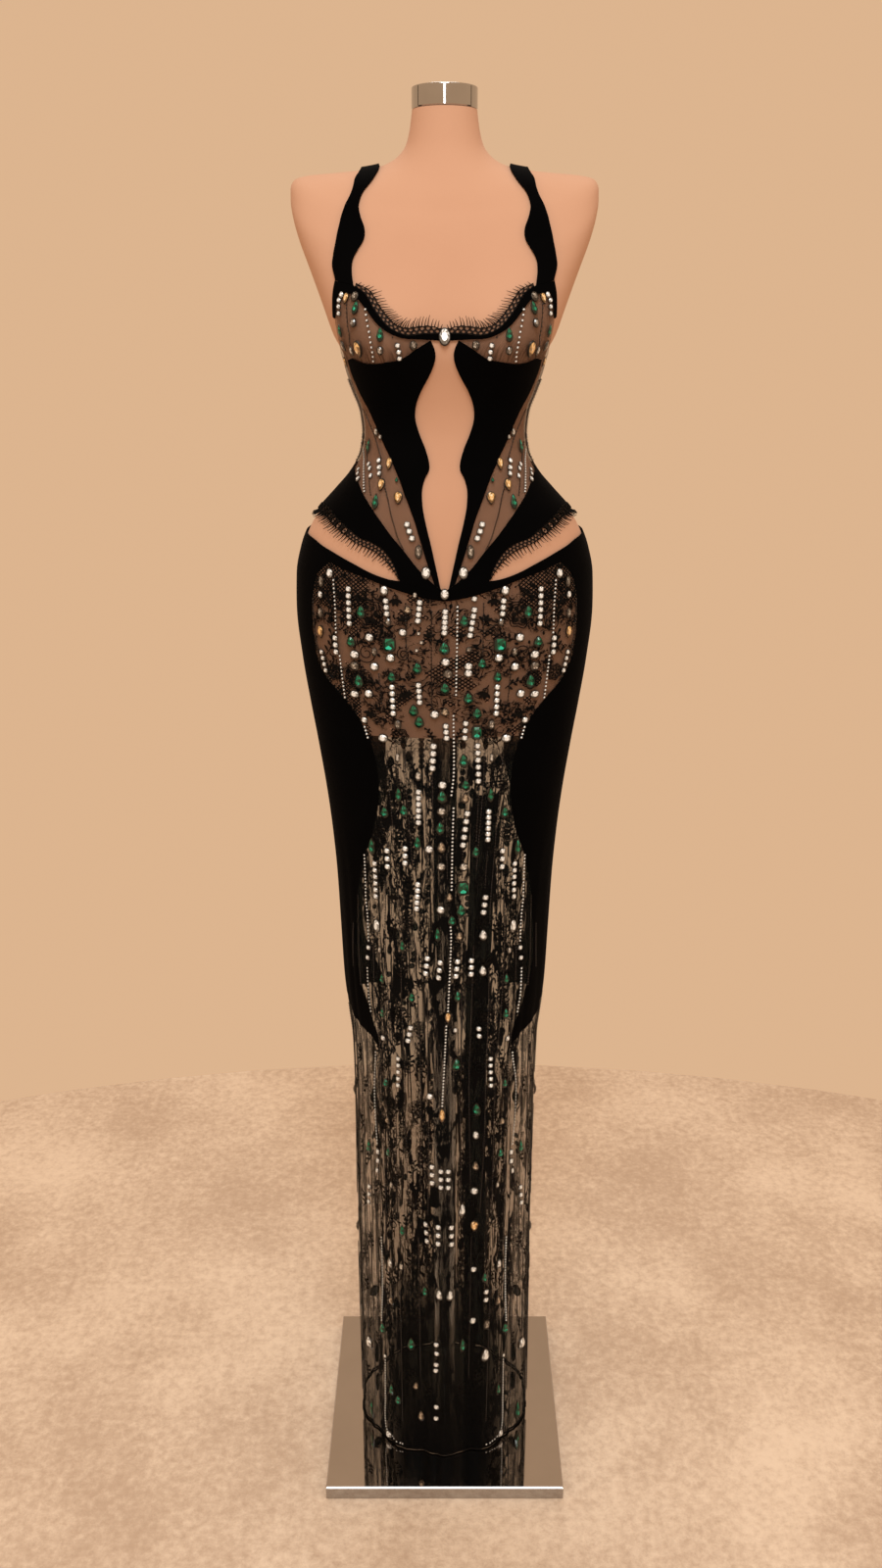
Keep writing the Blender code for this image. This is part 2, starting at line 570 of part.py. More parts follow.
def inset(spots, gap):
    """The outline drawn in by a gap, measured on the figure."""
    count = len(spots)
    drawn = []
    for i, spot in enumerate(spots):
        by_angle, by_level = slopes(math.radians(spot[0]), spot[1])
        scale = Vector((math.radians(1) * by_angle.length, by_level.length))
        sides = []
        for other, sign in ((spots[i - 1], 1), (spots[(i + 1) % count], -1)):
            run = Vector(((spot[0] - other[0]) * scale.x, (spot[1] - other[1]) * scale.y))
            run = run.normalized() * sign
            sides.append(Vector((-run.y, run.x)))
        bisector = sides[0] + sides[1]
        reach = gap * 2 / max(0.5, bisector.length_squared)
        drawn.append((spot[0] + bisector.x * reach / scale.x,
                      spot[1] + bisector.y * reach / scale.y))
    return drawn


def inside(point, loop):
    """Whether a flat point lies inside a loop."""
    odd = False
    for i, a in enumerate(loop):
        b = loop[i - 1]
        if (a.y > point.y) != (b.y > point.y):
            if point.x < (b.x - a.x) * (point.y - a.y) / (b.y - a.y) + a.x:
                odd = not odd
    return odd


def near_loop(point, loop, distance):
    """Whether a flat point is closer to a loop than a distance."""
    for i, a in enumerate(loop):
        along = loop[i - 1] - a
        t = (point - a).dot(along) / max(along.length_squared, 1e-12)
        t = min(1.0, max(0.0, t))
        if (point - a - along * t).length < distance:
            return True
    return False


def lattice(loops, step_angle, rows):
    """Spots inside an outline on whole steps of the angle and on rows, off its edges."""
    outer = loops[0]
    spare = POINT_SPARE * math.radians(step_angle) * FLAT_RADIUS
    left = math.degrees(min(p.x for p in outer) / FLAT_RADIUS)
    right = math.degrees(max(p.x for p in outer) / FLAT_RADIUS)
    found = []
    for level in rows:
        for column in range(math.floor(left / step_angle), math.ceil(right / step_angle) + 1):
            spot = (column * step_angle, level)
            point = flat(spot)
            if not inside(point, outer) or any(inside(point, hole) for hole in loops[1:]):
                continue
            if not any(near_loop(point, loop, spare) for loop in loops):
                found.append(spot)
    return found


def upright_lines(spots, rows, loops):
    """Pairs of spots in one column and neighbouring rows, with no edge of a loop between."""
    place = {(round(spot[0], 3), rows.index(spot[1])): i for i, spot in enumerate(spots)}
    lines = []
    for (angle, row), i in place.items():
        j = place.get((angle, row + 1))
        if j is None:
            continue
        a, b = flat(spots[i]), flat(spots[j])
        if not any(intersect_line_line_2d(a, b, loop[k - 1], loop[k])
                   for loop in loops for k in range(len(loop))):
            lines.append((i, j))
    return lines


def stone_spots(stone):
    """Ring and top of one stone: spots and how far each stands out."""
    angle, level, width, height = stone
    spots = []
    for k in range(STONE_SIDES):
        turn = 2 * math.pi * (k + 0.5) / STONE_SIDES
        spots.append((moved((angle, level), width / 2 * math.cos(turn),
                            height / 2 * math.sin(turn)), 0.0))
    spots.append(((angle, level), width * STONE_RISE))
    return spots


def triangles(loops, extra, lines):
    """Triangles over an outline, its holes and the spots within, all turned outwards."""
    points = [flat(spot) for loop in loops for spot in loop]
    edges = []
    start = 0
    for loop in loops:
        count = len(loop)
        edges += [(start + i, start + (i + 1) % count) for i in range(count)]
        start += count
    points += [flat(spot) for spot in extra]
    edges += [(start + i, start + j) for i, j in lines]
    result = delaunay_2d_cdt(points, edges, [], 0, 1e-7)
    made, faces, origins = result[0], result[2], result[3]
    if len(made) != len(points):
        raise ValueError("an outline crosses itself or two of its points meet")
    index = [found[0] for found in origins]
    flat_loops = [[flat(spot) for spot in loop] for loop in loops]
    kept = []
    for face in faces:
        middle = sum((made[i] for i in face), Vector((0, 0))) / 3
        if not inside(middle, flat_loops[0]):
            continue
        if any(inside(middle, hole) for hole in flat_loops[1:]):
            continue
        corners = [made[i] for i in face]
        order = [index[i] for i in face]
        kept.append(order if area(corners) > 0 else order[::-1])
    return kept


def wall(name, spots, finish, clear, thick, grid, stones=(), holes=(), lift=None):
    """A closed wall of cloth over the figure, with stones raised on its outer face."""
    rim = inset(closed(spots), SEAM_GAP / 2)
    loops = [rim] + [closed(list(hole))[::-1] for hole in holes]
    flat_loops = [[flat(spot) for spot in loop] for loop in loops]
    plain = lattice(flat_loops, *grid) if grid else []
    raised = []
    blocked = []
    for stone in stones:
        raised += stone_spots(stone)
        blocked.append((flat(stone[:2]), STONE_SPARE * max(stone[2], stone[3])))
    clear_of = [spot for spot in plain
                if all((flat(spot) - centre).length > gap for centre, gap in blocked)]
    outer_extra = [(spot, 0.0) for spot in clear_of] + raised
    rows = grid[1] if grid else ()
    around_stones = [[flat(spot) for spot, rise in raised[k:k + STONE_SIDES]]
                     for k in range(0, len(raised), STONE_SIDES + 1)]
    outer_lines = upright_lines(clear_of, rows, flat_loops + around_stones)
    around = [spot for loop in loops for spot in loop]
    out = lift or (lambda spot: 0.0)
    points = [on_figure(spot, clear + thick + out(spot)) for spot in around]
    points += [on_figure(spot, clear + thick + out(spot) + rise)
               for spot, rise in outer_extra]
    base = len(points)
    points += [on_figure(spot, clear + out(spot)) for spot in around + plain]
    faces = triangles(loops, [spot for spot, _ in outer_extra], outer_lines)
    inner = triangles(loops, plain, upright_lines(plain, rows, flat_loops))
    faces += [[base + i for i in reversed(face)] for face in inner]
    start = 0
    for loop in loops:
        count = len(loop)
        for i in range(count):
            a = start + i
            b = start + (i + 1) % count
            faces.append([b, a, base + a, base + b])
        start += count
    return add_object(name, points, faces, finish)


def both_sides(name, spots, finish, clear, thick, grid, stones=(), holes=(), lift=None):
    """The same wall on the +X side and mirrored on the -X side."""
    wall(name + "_right", spots, finish, clear, thick, grid, stones, holes, lift)
    left_stones = [(-stone[0],) + tuple(stone[1:]) for stone in stones]
    left_holes = [mirrored(hole) for hole in holes]
    left_lift = (lambda spot: lift((-spot[0], spot[1]))) if lift else None
    wall(name + "_left", mirrored(spots), finish, clear, thick, grid, left_stones,
         left_holes, left_lift)


def turned(name, profile, sides, finish, y=0.0):
    """A round solid from a profile of radius and height, bottom to top."""
    points = [Vector((0.0, y, profile[0][1]))]
    for radius, height in profile:
        for k in range(sides):
            turn = 2 * math.pi * k / sides
            points.append(Vector((radius * math.cos(turn), y + radius * math.sin(turn),
                                  height)))
    points.append(Vector((0.0, y, profile[-1][1])))
    faces = []
    for k in range(sides):
        after = (k + 1) % sides
        faces.append([0, 1 + after, 1 + k])
        for ring in range(len(profile) - 1):
            a = 1 + ring * sides
            faces.append([a + k, a + after, a + sides + after, a + sides + k])
        top = 1 + (len(profile) - 1) * sides
        faces.append([top + k, top + after, len(points) - 1])
    return add_object(name, points, faces, finish)


def build_stand():
    """Base plate, pole and the neck's cap."""
    half = PLATE_SIDE / 2
    inner = half - PLATE_BEVEL
    rings = ((inner, 0.0), (half, PLATE_BEVEL), (half, PLATE_THICK - PLATE_BEVEL),
             (inner, PLATE_THICK))
    points = []
    for reach, height in rings:
        points += [Vector((reach * sx, reach * sy, height))
                   for sx, sy in ((-1, -1), (1, -1), (1, 1), (-1, 1))]
    faces = [[3, 2, 1, 0], [12, 13, 14, 15]]
    for ring in range(3):
        for k in range(4):
            a, b = ring * 4 + k, ring * 4 + (k + 1) % 4
            faces.append([a, b, b + 4, a + 4])
    add_object("stand_base", points, faces, "mirror_steel")
    turned("stand_pole", ((POLE_RADIUS, PLATE_THICK + TOUCH),
                          (POLE_RADIUS, FORM_BOTTOM - TOUCH)), POLE_SIDES, "chrome")
    low = NECK_TOP + TOUCH
    high = low + CAP_HEIGHT
    turned("form_neck_cap", ((CAP_RADIUS - CAP_BEVEL, low), (CAP_RADIUS, low + CAP_BEVEL),
                             (CAP_RADIUS, high - CAP_BEVEL), (CAP_RADIUS - CAP_BEVEL, high)),
           CAP_SIDES, "chrome", CAP_Y)


def build_form():
    """The torso of the dress form, whole, from its flat bottom to its neck."""
    levels = form_levels()
    points = [Vector((0.0, 0.0, FORM_BOTTOM))]
    angles = list(range(-FORM_FRONT, FORM_FRONT, FORM_FRONT_STEP))
    angles += range(FORM_FRONT, 360 - FORM_FRONT, FORM_BACK_STEP)
    sides = len(angles)
    for level in levels:
        points += [figure_point(math.radians(angle), level) for angle in angles]
    points.append(Vector((0.0, CAP_Y, NECK_TOP)))
    faces = []
    for k in range(sides):
        after = (k + 1) % sides
        faces.append([0, 1 + after, 1 + k])
        for ring in range(len(levels) - 1):
            a = 1 + ring * sides
            faces.append([a + k, a + after, a + sides + after, a + sides + k])
        top = 1 + (len(levels) - 1) * sides
        faces.append([top + k, top + after, len(points) - 1])
    add_object("form_torso", points, faces, "form_jersey")


def angle_at(level, x, behind):
    """The angle in degrees where the figure's ring passes a given x."""
    low, high = (180.0, 90.0) if behind else (0.0, 90.0)
    for _ in range(30):
        middle = (low + high) / 2
        if figure_point(math.radians(middle), level).x < x:
            low = middle
        else:
            high = middle
    return (low + high) / 2


def strap_rows():
    """Inner and outer spot of the strap, from the cup over the shoulder to the back."""
    (inner_end, level), (outer_end, _) = EDGES["strap_end"]
    level += SEAM_GAP
    rows = [((inner_end, level), (outer_end, level))]
    for level, inner, outer in STRAP_FRONT:
        rows.append(((angle_at(level, inner, False), level),
                     (angle_at(level, outer, False), level)))
    over = [((a, b), (c, d)) for a, b, c, d in STRAP_RIDGE]
    rows += over
    rows += [((180.0 - a[0], a[1]), (180.0 - b[0], b[1])) for a, b in over[-2::-1]]
    for level, inner, outer in STRAP_BACK:
        rows.append(((angle_at(level, inner, True), level),
                     (angle_at(level, outer, True), level)))
    return rows


def build_strap(name, side):
    """A velvet strap: a grid of points along and across, moved out twice."""
    rows = strap_rows()
    wide = STRAP_ACROSS + 1
    points = []
    for out in (STRAP_CLEAR + VELVET_THICK, STRAP_CLEAR):
        for a, b in rows:
            for k in range(wide):
                t = k / STRAP_ACROSS
                point = on_figure((a[0] + (b[0] - a[0]) * t, a[1] + (b[1] - a[1]) * t), out)
                points.append(Vector((side * point.x, point.y, point.z)))
    base = len(rows) * wide
    last = len(rows) - 1
    faces = []
    for row in range(last):
        first = row * wide
        for a in range(first, first + STRAP_ACROSS):
            faces.append([a, a + 1, a + wide + 1, a + wide])
            faces.append([base + a + wide, base + a + wide + 1, base + a + 1, base + a])
        end = first + STRAP_ACROSS
        faces.append([first + wide, base + first + wide, base + first, first])
        faces.append([end, base + end, base + end + wide, end + wide])
    for a in range(STRAP_ACROSS):
        b = last * wide + a
        faces.append([a, base + a, base + a + 1, a + 1])
        faces.append([b + 1, base + b + 1, base + b, b])
    if side < 0:
        faces = [face[::-1] for face in faces]
    add_object(name, points, faces, "black_velvet")


def walk(spots):
    """Lengths along a run of spots on the unrolled sheet."""
    lengths = [0.0]
    for a, b in zip(spots, spots[1:]):
        lengths.append(lengths[-1] + (flat(b) - flat(a)).length)
    return lengths


def along(spots, lengths, distance):
    """The spot at a distance along a run."""
    distance = min(lengths[-1], max(0.0, distance))
    i = max(k for k in range(len(spots) - 1) if lengths[k] <= distance or k == 0)
    t = (distance - lengths[i]) / (lengths[i + 1] - lengths[i])
    a, b = spots[i], spots[i + 1]
    return a[0] + (b[0] - a[0]) * t, a[1] + (b[1] - a[1]) * t


def distance_to(spot, run):
    """Distance from a spot to a run of spots on the unrolled sheet."""
    point = flat(spot)
    best = 1.0
    for a, b in zip(run, run[1:]):
        a, b = flat(a), flat(b)
        side = b - a
        t = min(1.0, max(0.0, (point - a).dot(side) / max(side.length_squared, 1e-12)))
        best = min(best, (point - a - side * t).length)
    return best


def build_trim(name, base, far, depth, lash, lashes):
    """A lace strip along an edge, with eyelashes on its far side and a row of holes."""
    lengths = walk(base)
    total = lengths[-1]

    def room(distance):
        spot = along(base, lengths, distance)
        ends = min(distance, total - distance) / TRIM_FADE
        free = distance_to(spot, far) * TRIM_SHARE / (depth + lash) if far else 1.0
        return min(1.0, TRIM_NARROW + ends, free)

    def out_from(distance, reach):
        run = (flat(along(base, lengths, distance + TRIM_SMOOTH))
               - flat(along(base, lengths, distance - TRIM_SMOOTH))).normalized()
        return moved(along(base, lengths, distance), run.y * reach, -run.x * reach)

    pitch = (total - 2 * TRIM_MARGIN) / lashes
    far_side = [out_from(TRIM_END, depth * room(TRIM_END))]
    for k in range(lashes):
        middle = TRIM_MARGIN + (k + 0.5) * pitch
        size = room(middle)
        reach = (depth + lash * (0.75 + 0.25 * math.cos(2.4 * k))) * size
        scallop = depth * size * (0.94 + 0.06 * math.cos(k * math.pi / 2))
        far_side.append(out_from(middle - LASH_WIDTH / 2, scallop))
        far_side.append(out_from(middle + LASH_LEAN * math.sin(1.7 * k), reach))
        far_side.append(out_from(middle + LASH_WIDTH / 2, scallop))
    far_side.append(out_from(total - TRIM_END, depth * room(total - TRIM_END)))
    holes = []
    for k in range(TRIM_HOLES):
        middle = total * (k + 1) / (TRIM_HOLES + 1)
        if depth * room(middle) < TRIM_HOLE + 2 * HOLE_RIM:
            continue
        centre = out_from(middle, depth * room(middle) / 2)
        holes.append([moved(centre, TRIM_HOLE / 2 * math.cos(turn),
                            TRIM_HOLE / 2 * math.sin(turn))
                      for turn in (2 * math.pi * n / HOLE_SIDES for n in range(HOLE_SIDES))])

    def lift(spot):
        return LASH_LIFT * smooth_step((distance_to(spot, base) - depth * 0.8) / lash)

    both_sides(name, base + far_side[::-1], "black_lace", CLOTH_CLEAR, LACE_THICK, None,
               (), holes, lift)


def build_bodice():
    """Cups, velvet front panels, mesh sides, back and the sweep over the hips."""
    both_sides("cup_edging",
               chain("strap_end", "armhole_top", "-binding_bottom", "edging_bottom",
                     "edging_middle", "-edging_top"),
               "black_velvet", *VELVET_LAYER, GRID)
    both_sides("cup", chain("cup_seam", "cup_seam_end", "-cup_corner", "-cup_side",
                            "-binding_bottom", "edging_bottom"),
               "nude_mesh", *MESH_LAYER, FINE_GRID, CUP_STONES)
    both_sides("front_panel", chain("keyhole", "front_tip", "-front_side", "-cup_seam"),
               "black_velvet", *VELVET_LAYER, GRID)
    both_sides("side_panel", chain("front_side", "-sweep_top", "-side_seam",
                                   "-cup_seam_end"),
               "nude_mesh", *MESH_LAYER, GRID, SIDE_STONES)
    both_sides("back_panel", chain("sweep_back", "-back_centre", "-back_top", "cup_corner",
                                   "side_seam"),
               "nude_mesh", *MESH_LAYER, BACK_GRID)
    both_sides("hip_sweep", chain("sweep_top", "-front_tip", "sweep_tip", "sweep_joint",
                                  "cutout_top", "sweep_joint_back", "-sweep_centre",
                                  "-sweep_back"),
               "black_velvet", *VELVET_LAYER, GRID)


def build_trims():
    """Eyelash lace above the cups and under the sweep."""
    build_trim("cup_lace", edge("edging_top"), None, CUP_TRIM_DEPTH, CUP_LASH, CUP_LASHES)
    under = [spot for spot in edge("cutout_top") if spot[0] < HIP_TRIM_END]
    band = chain("cutout_bottom_front", "cutout_bottom_side", "cutout_bottom_back")
    build_trim("hip_lace", under, band, HIP_TRIM_DEPTH, HIP_LASH, HIP_LASHES)


def build_skirt():
    """Velvet band and sides, mesh front and back, and what closes the back."""
    wall("skirt_band", whole(chain("sweep_joint", "cutout_bottom_front", "band_end",
                                   "band_bottom")), "black_velvet", *VELVET_LAYER, GRID)
    both_sides("skirt_velvet", chain("cutout_bottom_side", "velvet_back",
                                     "velvet_hem_back", "-velvet_hem", "-velvet_front",
                                     "-band_end"),
               "black_velvet", *VELVET_LAYER, SKIRT_GRID)
    both = SKIRT_STONES + tuple((-stone[0],) + stone[1:] for stone in SKIRT_STONES)
    wall("skirt_front", whole(chain("-band_bottom", "velvet_front", "velvet_hem",
                                    "tube_seam", "hem_front")),
         "lace_mesh", *MESH_LAYER, SKIRT_GRID, both + CENTRE_DROPS)
    wall("skirt_back", whole(chain("-hem_back", "-tube_seam", "-velvet_hem_back",
                                   "-velvet_back", "cutout_bottom_back",
                                   "sweep_joint_back", "skirt_slot", "slot_end"), 180.0),
         "lace_mesh", *MESH_LAYER, SKIRT_GRID)
    side = chain("back_centre", "sweep_centre", "skirt_slot", "slot_end")
    top = [(180.0, side[0][1])]
    wall("back_placket", whole(top + side, 180.0), "black_velvet", *VELVET_LAYER,
         BACK_GRID)
    near, far = (plumb(angle, *FACING_LEVELS, SKIRT_GRID[1]) for angle in FACING_ANGLES)
    middle = sum(FACING_ANGLES) / 2
    ends = [(middle, level) for level in FACING_LEVELS]
    wall("vent_facing", near + [ends[1]] + far[::-1] + [ends[0]], "black_lace",
         CLOTH_CLEAR - FACING_GAP - MESH_THICK, MESH_THICK, SKIRT_GRID)


def build_centre_stones():
    """The two clear stones that hold the halves together at the front centre."""
    clear = CLOTH_CLEAR + VELVET_THICK + 2 * TOUCH
    for name, (angle, level, width, height) in CENTRE_STONES.items():
        turns = [2 * math.pi * k / SETTING_SIDES for k in range(SETTING_SIDES)]
        rim = [moved((angle, level), width / 2 * math.cos(turn), height / 2 * math.sin(turn))
               for turn in turns]
        wall(name, rim, "crystal", clear, SETTING_THICK, None,
             ((angle, level, width * SETTING_TABLE, height * SETTING_TABLE),))


clear_scene()
build_stand()
build_form()
build_strap("strap_right", 1)
build_strap("strap_left", -1)
build_bodice()
build_trims()
build_skirt()
build_centre_stones()
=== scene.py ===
import math
from functools import reduce
from itertools import combinations

import bpy
import numpy as np
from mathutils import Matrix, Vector
from mathutils.geometry import delaunay_2d_cdt
from mathutils.kdtree import KDTree


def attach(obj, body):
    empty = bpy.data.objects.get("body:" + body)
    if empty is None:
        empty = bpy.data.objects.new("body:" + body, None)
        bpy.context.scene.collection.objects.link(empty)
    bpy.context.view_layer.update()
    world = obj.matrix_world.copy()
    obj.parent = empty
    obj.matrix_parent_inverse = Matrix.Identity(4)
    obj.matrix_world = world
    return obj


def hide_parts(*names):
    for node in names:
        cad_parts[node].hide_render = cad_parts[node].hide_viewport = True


# Looks of the evening dress on its dress form, in metres, +Z up. The dress faces -Y and +X is
# the viewer's right. A spot is an angle round the body in degrees, 0 at the front centre and
# 90 at +X, and a level, which is the height of that ring at the front centre. All cloth, lace
# and stones are placed by spots and moved out from one figure, the same one as the solids'.
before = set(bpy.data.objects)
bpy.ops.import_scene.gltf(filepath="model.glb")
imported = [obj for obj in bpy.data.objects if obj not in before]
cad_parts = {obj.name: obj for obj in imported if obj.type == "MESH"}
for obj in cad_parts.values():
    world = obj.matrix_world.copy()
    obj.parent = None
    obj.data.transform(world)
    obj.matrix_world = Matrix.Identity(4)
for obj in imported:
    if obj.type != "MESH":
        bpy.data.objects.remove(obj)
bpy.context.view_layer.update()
rng = np.random.default_rng(7)

# Stand and form
POLE_RADIUS = 0.015
POLE_BOTTOM = 0.0203
FORM_BOTTOM = 1.058
NECK_TOP = 1.705
CAP_RADIUS = 0.0342
CAP_HEIGHT = 0.0205
CAP_Y = 0.006
CAP_BEVEL = 0.0012
POLE_SIDES = 64
CAP_SIDES = 72
# Degrees between the columns of the form, and points between two of the figure's rings
FORM_TURN = 3.0
FORM_RINGS = 4
# Gap between parts that only touch
TOUCH = 0.0003

# Cloth: clearance from the figure and thickness
SHEER = (0.0019, 0.0005)
VELVET = (0.0012, 0.0016)
STRAP = (0.0016, 0.0016)
FACING = (-0.0003, 0.0005)
# Distance from the figure of what is set on the mesh and on the velvet
ON_SHEER = 0.00242
ON_VELVET = 0.0029
# Gap between two pieces of cloth at a seam
SEAM_GAP = 0.0003
# Levels of the hem and of the placket's lower end
HEM = 0.0235
PLACKET_BOTTOM = 1.130
# Cord of the hem: level, radius and number of points on the front and on the back
HEM_CORD_LEVEL = 0.0223
HEM_CORD_RADIUS = 0.0014
HEM_STEPS = 91
# Radius of the round sheet that is unrolled to draw outlines
FLAT_RADIUS = 0.12
# Spacing of points along an edge, and the small step over which a slope is taken
EDGE_STEP = 0.0035
SLOPE_STEP = 0.0005
# Inner points keep this far from an outline, and spots closer than this are one
EDGE_FREE = 0.55 * EDGE_STEP
SAME_SPOT = 1e-6
# Edges that are shaded sharp on cloth, on the settings of stones, on round solids and on the
# cap's seams and the floor, in degrees
CLOTH_SHARP = 50
RIM_SHARP = 40
TURNED_SHARP = 35
BOX_SHARP = 30
# Sign of x and word for each side of the body
SIDES = ((1, "right"), (-1, "left"))
# Levels between which the cups' pleats fade out, and the hips' lace turns into bark
PLEATS = (1.468, 1.484)
BARK_FROM = (1.020, 1.065)

# Figure: one row for each ring
# level, half width, height at the side, y of the widest point, depth before it,
# depth behind it, squareness
FIGURE = np.array((
    (0.020, 0.1160, 0.020, 0.000, 0.1030, 0.1030, 0.00),
    (0.560, 0.1155, 0.560, 0.000, 0.1020, 0.1030, 0.00),
    (0.630, 0.1165, 0.630, 0.000, 0.1010, 0.1030, 0.00),
    (0.675, 0.1210, 0.675, 0.000, 0.1010, 0.1030, 0.00),
    (0.720, 0.1250, 0.720, 0.000, 0.1010, 0.1030, 0.00),
    (0.790, 0.1275, 0.790, 0.000, 0.1000, 0.1030, 0.00),
    (0.860, 0.1305, 0.860, 0.001, 0.0990, 0.1030, 0.00),
    (0.920, 0.1350, 0.920, 0.002, 0.0985, 0.1020, 0.01),
    (0.970, 0.1405, 0.970, 0.004, 0.0980, 0.1010, 0.02),
    (1.030, 0.1490, 1.030, 0.006, 0.0985, 0.1000, 0.03),
    (1.080, 0.1570, 1.080, 0.008, 0.1010, 0.1020, 0.03),
    (1.130, 0.1640, 1.130, 0.009, 0.1050, 0.1080, 0.03),
    (1.190, 0.1690, 1.190, 0.009, 0.1080, 0.1120, 0.03),
    (1.230, 0.1675, 1.230, 0.008, 0.1070, 0.1090, 0.03),
    (1.260, 0.1610, 1.260, 0.006, 0.1030, 0.1000, 0.03),
    (1.280, 0.1530, 1.280, 0.004, 0.0995, 0.0930, 0.03),
    (1.300, 0.1410, 1.300, 0.002, 0.0950, 0.0870, 0.02),
    (1.322, 0.1210, 1.322, 0.000, 0.0890, 0.0800, 0.02),
    (1.343, 0.1025, 1.343, -0.001, 0.0835, 0.0760, 0.02),
    (1.365, 0.0905, 1.365, -0.002, 0.0790, 0.0735, 0.02),
    (1.386, 0.0875, 1.386, -0.002, 0.0775, 0.0735, 0.02),
    (1.407, 0.0895, 1.407, -0.002, 0.0795, 0.0760, 0.03),
    (1.430, 0.0975, 1.430, -0.001, 0.0850, 0.0815, 0.04),
    (1.450, 0.1040, 1.450, 0.000, 0.0900, 0.0860, 0.05),
    (1.468, 0.1085, 1.469, 0.000, 0.0930, 0.0890, 0.06),
    (1.482, 0.1185, 1.487, 0.001, 0.0940, 0.0900, 0.07),
    (1.496, 0.1275, 1.512, 0.002, 0.0935, 0.0900, 0.08),
    (1.510, 0.1365, 1.537, 0.003, 0.0925, 0.0895, 0.08),
    (1.525, 0.1450, 1.560, 0.004, 0.0905, 0.0880, 0.08),
    (1.540, 0.1530, 1.582, 0.005, 0.0880, 0.0860, 0.08),
    (1.555, 0.1585, 1.602, 0.006, 0.0850, 0.0835, 0.08),
    (1.570, 0.1612, 1.619, 0.007, 0.0815, 0.0800, 0.07),
    (1.583, 0.1612, 1.631, 0.008, 0.0780, 0.0765, 0.06),
    (1.595, 0.1565, 1.640, 0.009, 0.0740, 0.0725, 0.05),
    (1.607, 0.1410, 1.644, 0.010, 0.0690, 0.0680, 0.04),
    (1.619, 0.1170, 1.646, 0.010, 0.0640, 0.0630, 0.03),
    (1.631, 0.0900, 1.6485, 0.010, 0.0580, 0.0575, 0.01),
    (1.643, 0.0650, 1.653, 0.009, 0.0515, 0.0515, 0.00),
    (1.655, 0.0495, 1.661, 0.008, 0.0455, 0.0455, 0.00),
    (1.670, 0.0405, 1.672, 0.007, 0.0400, 0.0400, 0.00),
    (1.688, 0.0360, 1.688, 0.006, 0.0360, 0.0360, 0.00),
    (1.705, 0.0336, 1.705, 0.006, 0.0336, 0.0336, 0.00),
))
# Bust: x and level of its points, how far they stand out, their reach to the side, above
# and below, and how much they widen the figure
BUST_X = 0.060
BUST_LEVEL = 1.478
BUST_LIFT = 0.026
BUST_WIDE = 0.042
BUST_RISE = 0.050
BUST_DROP = 0.036
BUST_SPREAD = 0.2

# Soft folds of the hanging tube: angle, level where it has faded out, half width in
# degrees, height
FOLDS = (
    (-75.0, 0.62, 9, 0.0022), (-52.5, 0.60, 8, -0.0024), (-30.0, 0.98, 7, 0.0030),
    (-15.0, 0.90, 7, -0.0030), (0.0, 1.00, 7, 0.0026), (15.0, 0.94, 7, -0.0034),
    (30.0, 0.99, 8, 0.0032), (45.0, 0.62, 8, -0.0022), (67.5, 0.60, 9, 0.0024),
    (90.0, 0.60, 8, -0.0018), (112.5, 0.62, 9, 0.0022), (135.0, 0.64, 8, -0.0024),
    (150.0, 0.98, 7, 0.0028), (165.0, 0.92, 7, -0.0032), (180.0, 1.00, 7, 0.0026),
    (195.0, 0.95, 7, -0.0028), (210.0, 0.98, 8, 0.0030), (232.5, 0.62, 8, -0.0022),
    (255.0, 0.60, 9, 0.0022), (270.0, 0.60, 8, -0.0018),
)
# Height over which folds and ripples fade out
FOLD_FADE = 0.25
# Fine ripples between the folds: waves round the body, phase, height, level where they end
RIPPLES = ((31, 0.4, 0.00055, 1.00), (44, 2.2, 0.00045, 0.96), (57, 4.1, 0.00030, 0.90))
RIPPLE_SWAY = 0.8

# Below this level the velvet side panels have the same edge at the front and at the back
VELVET_ALIKE = 1.1942

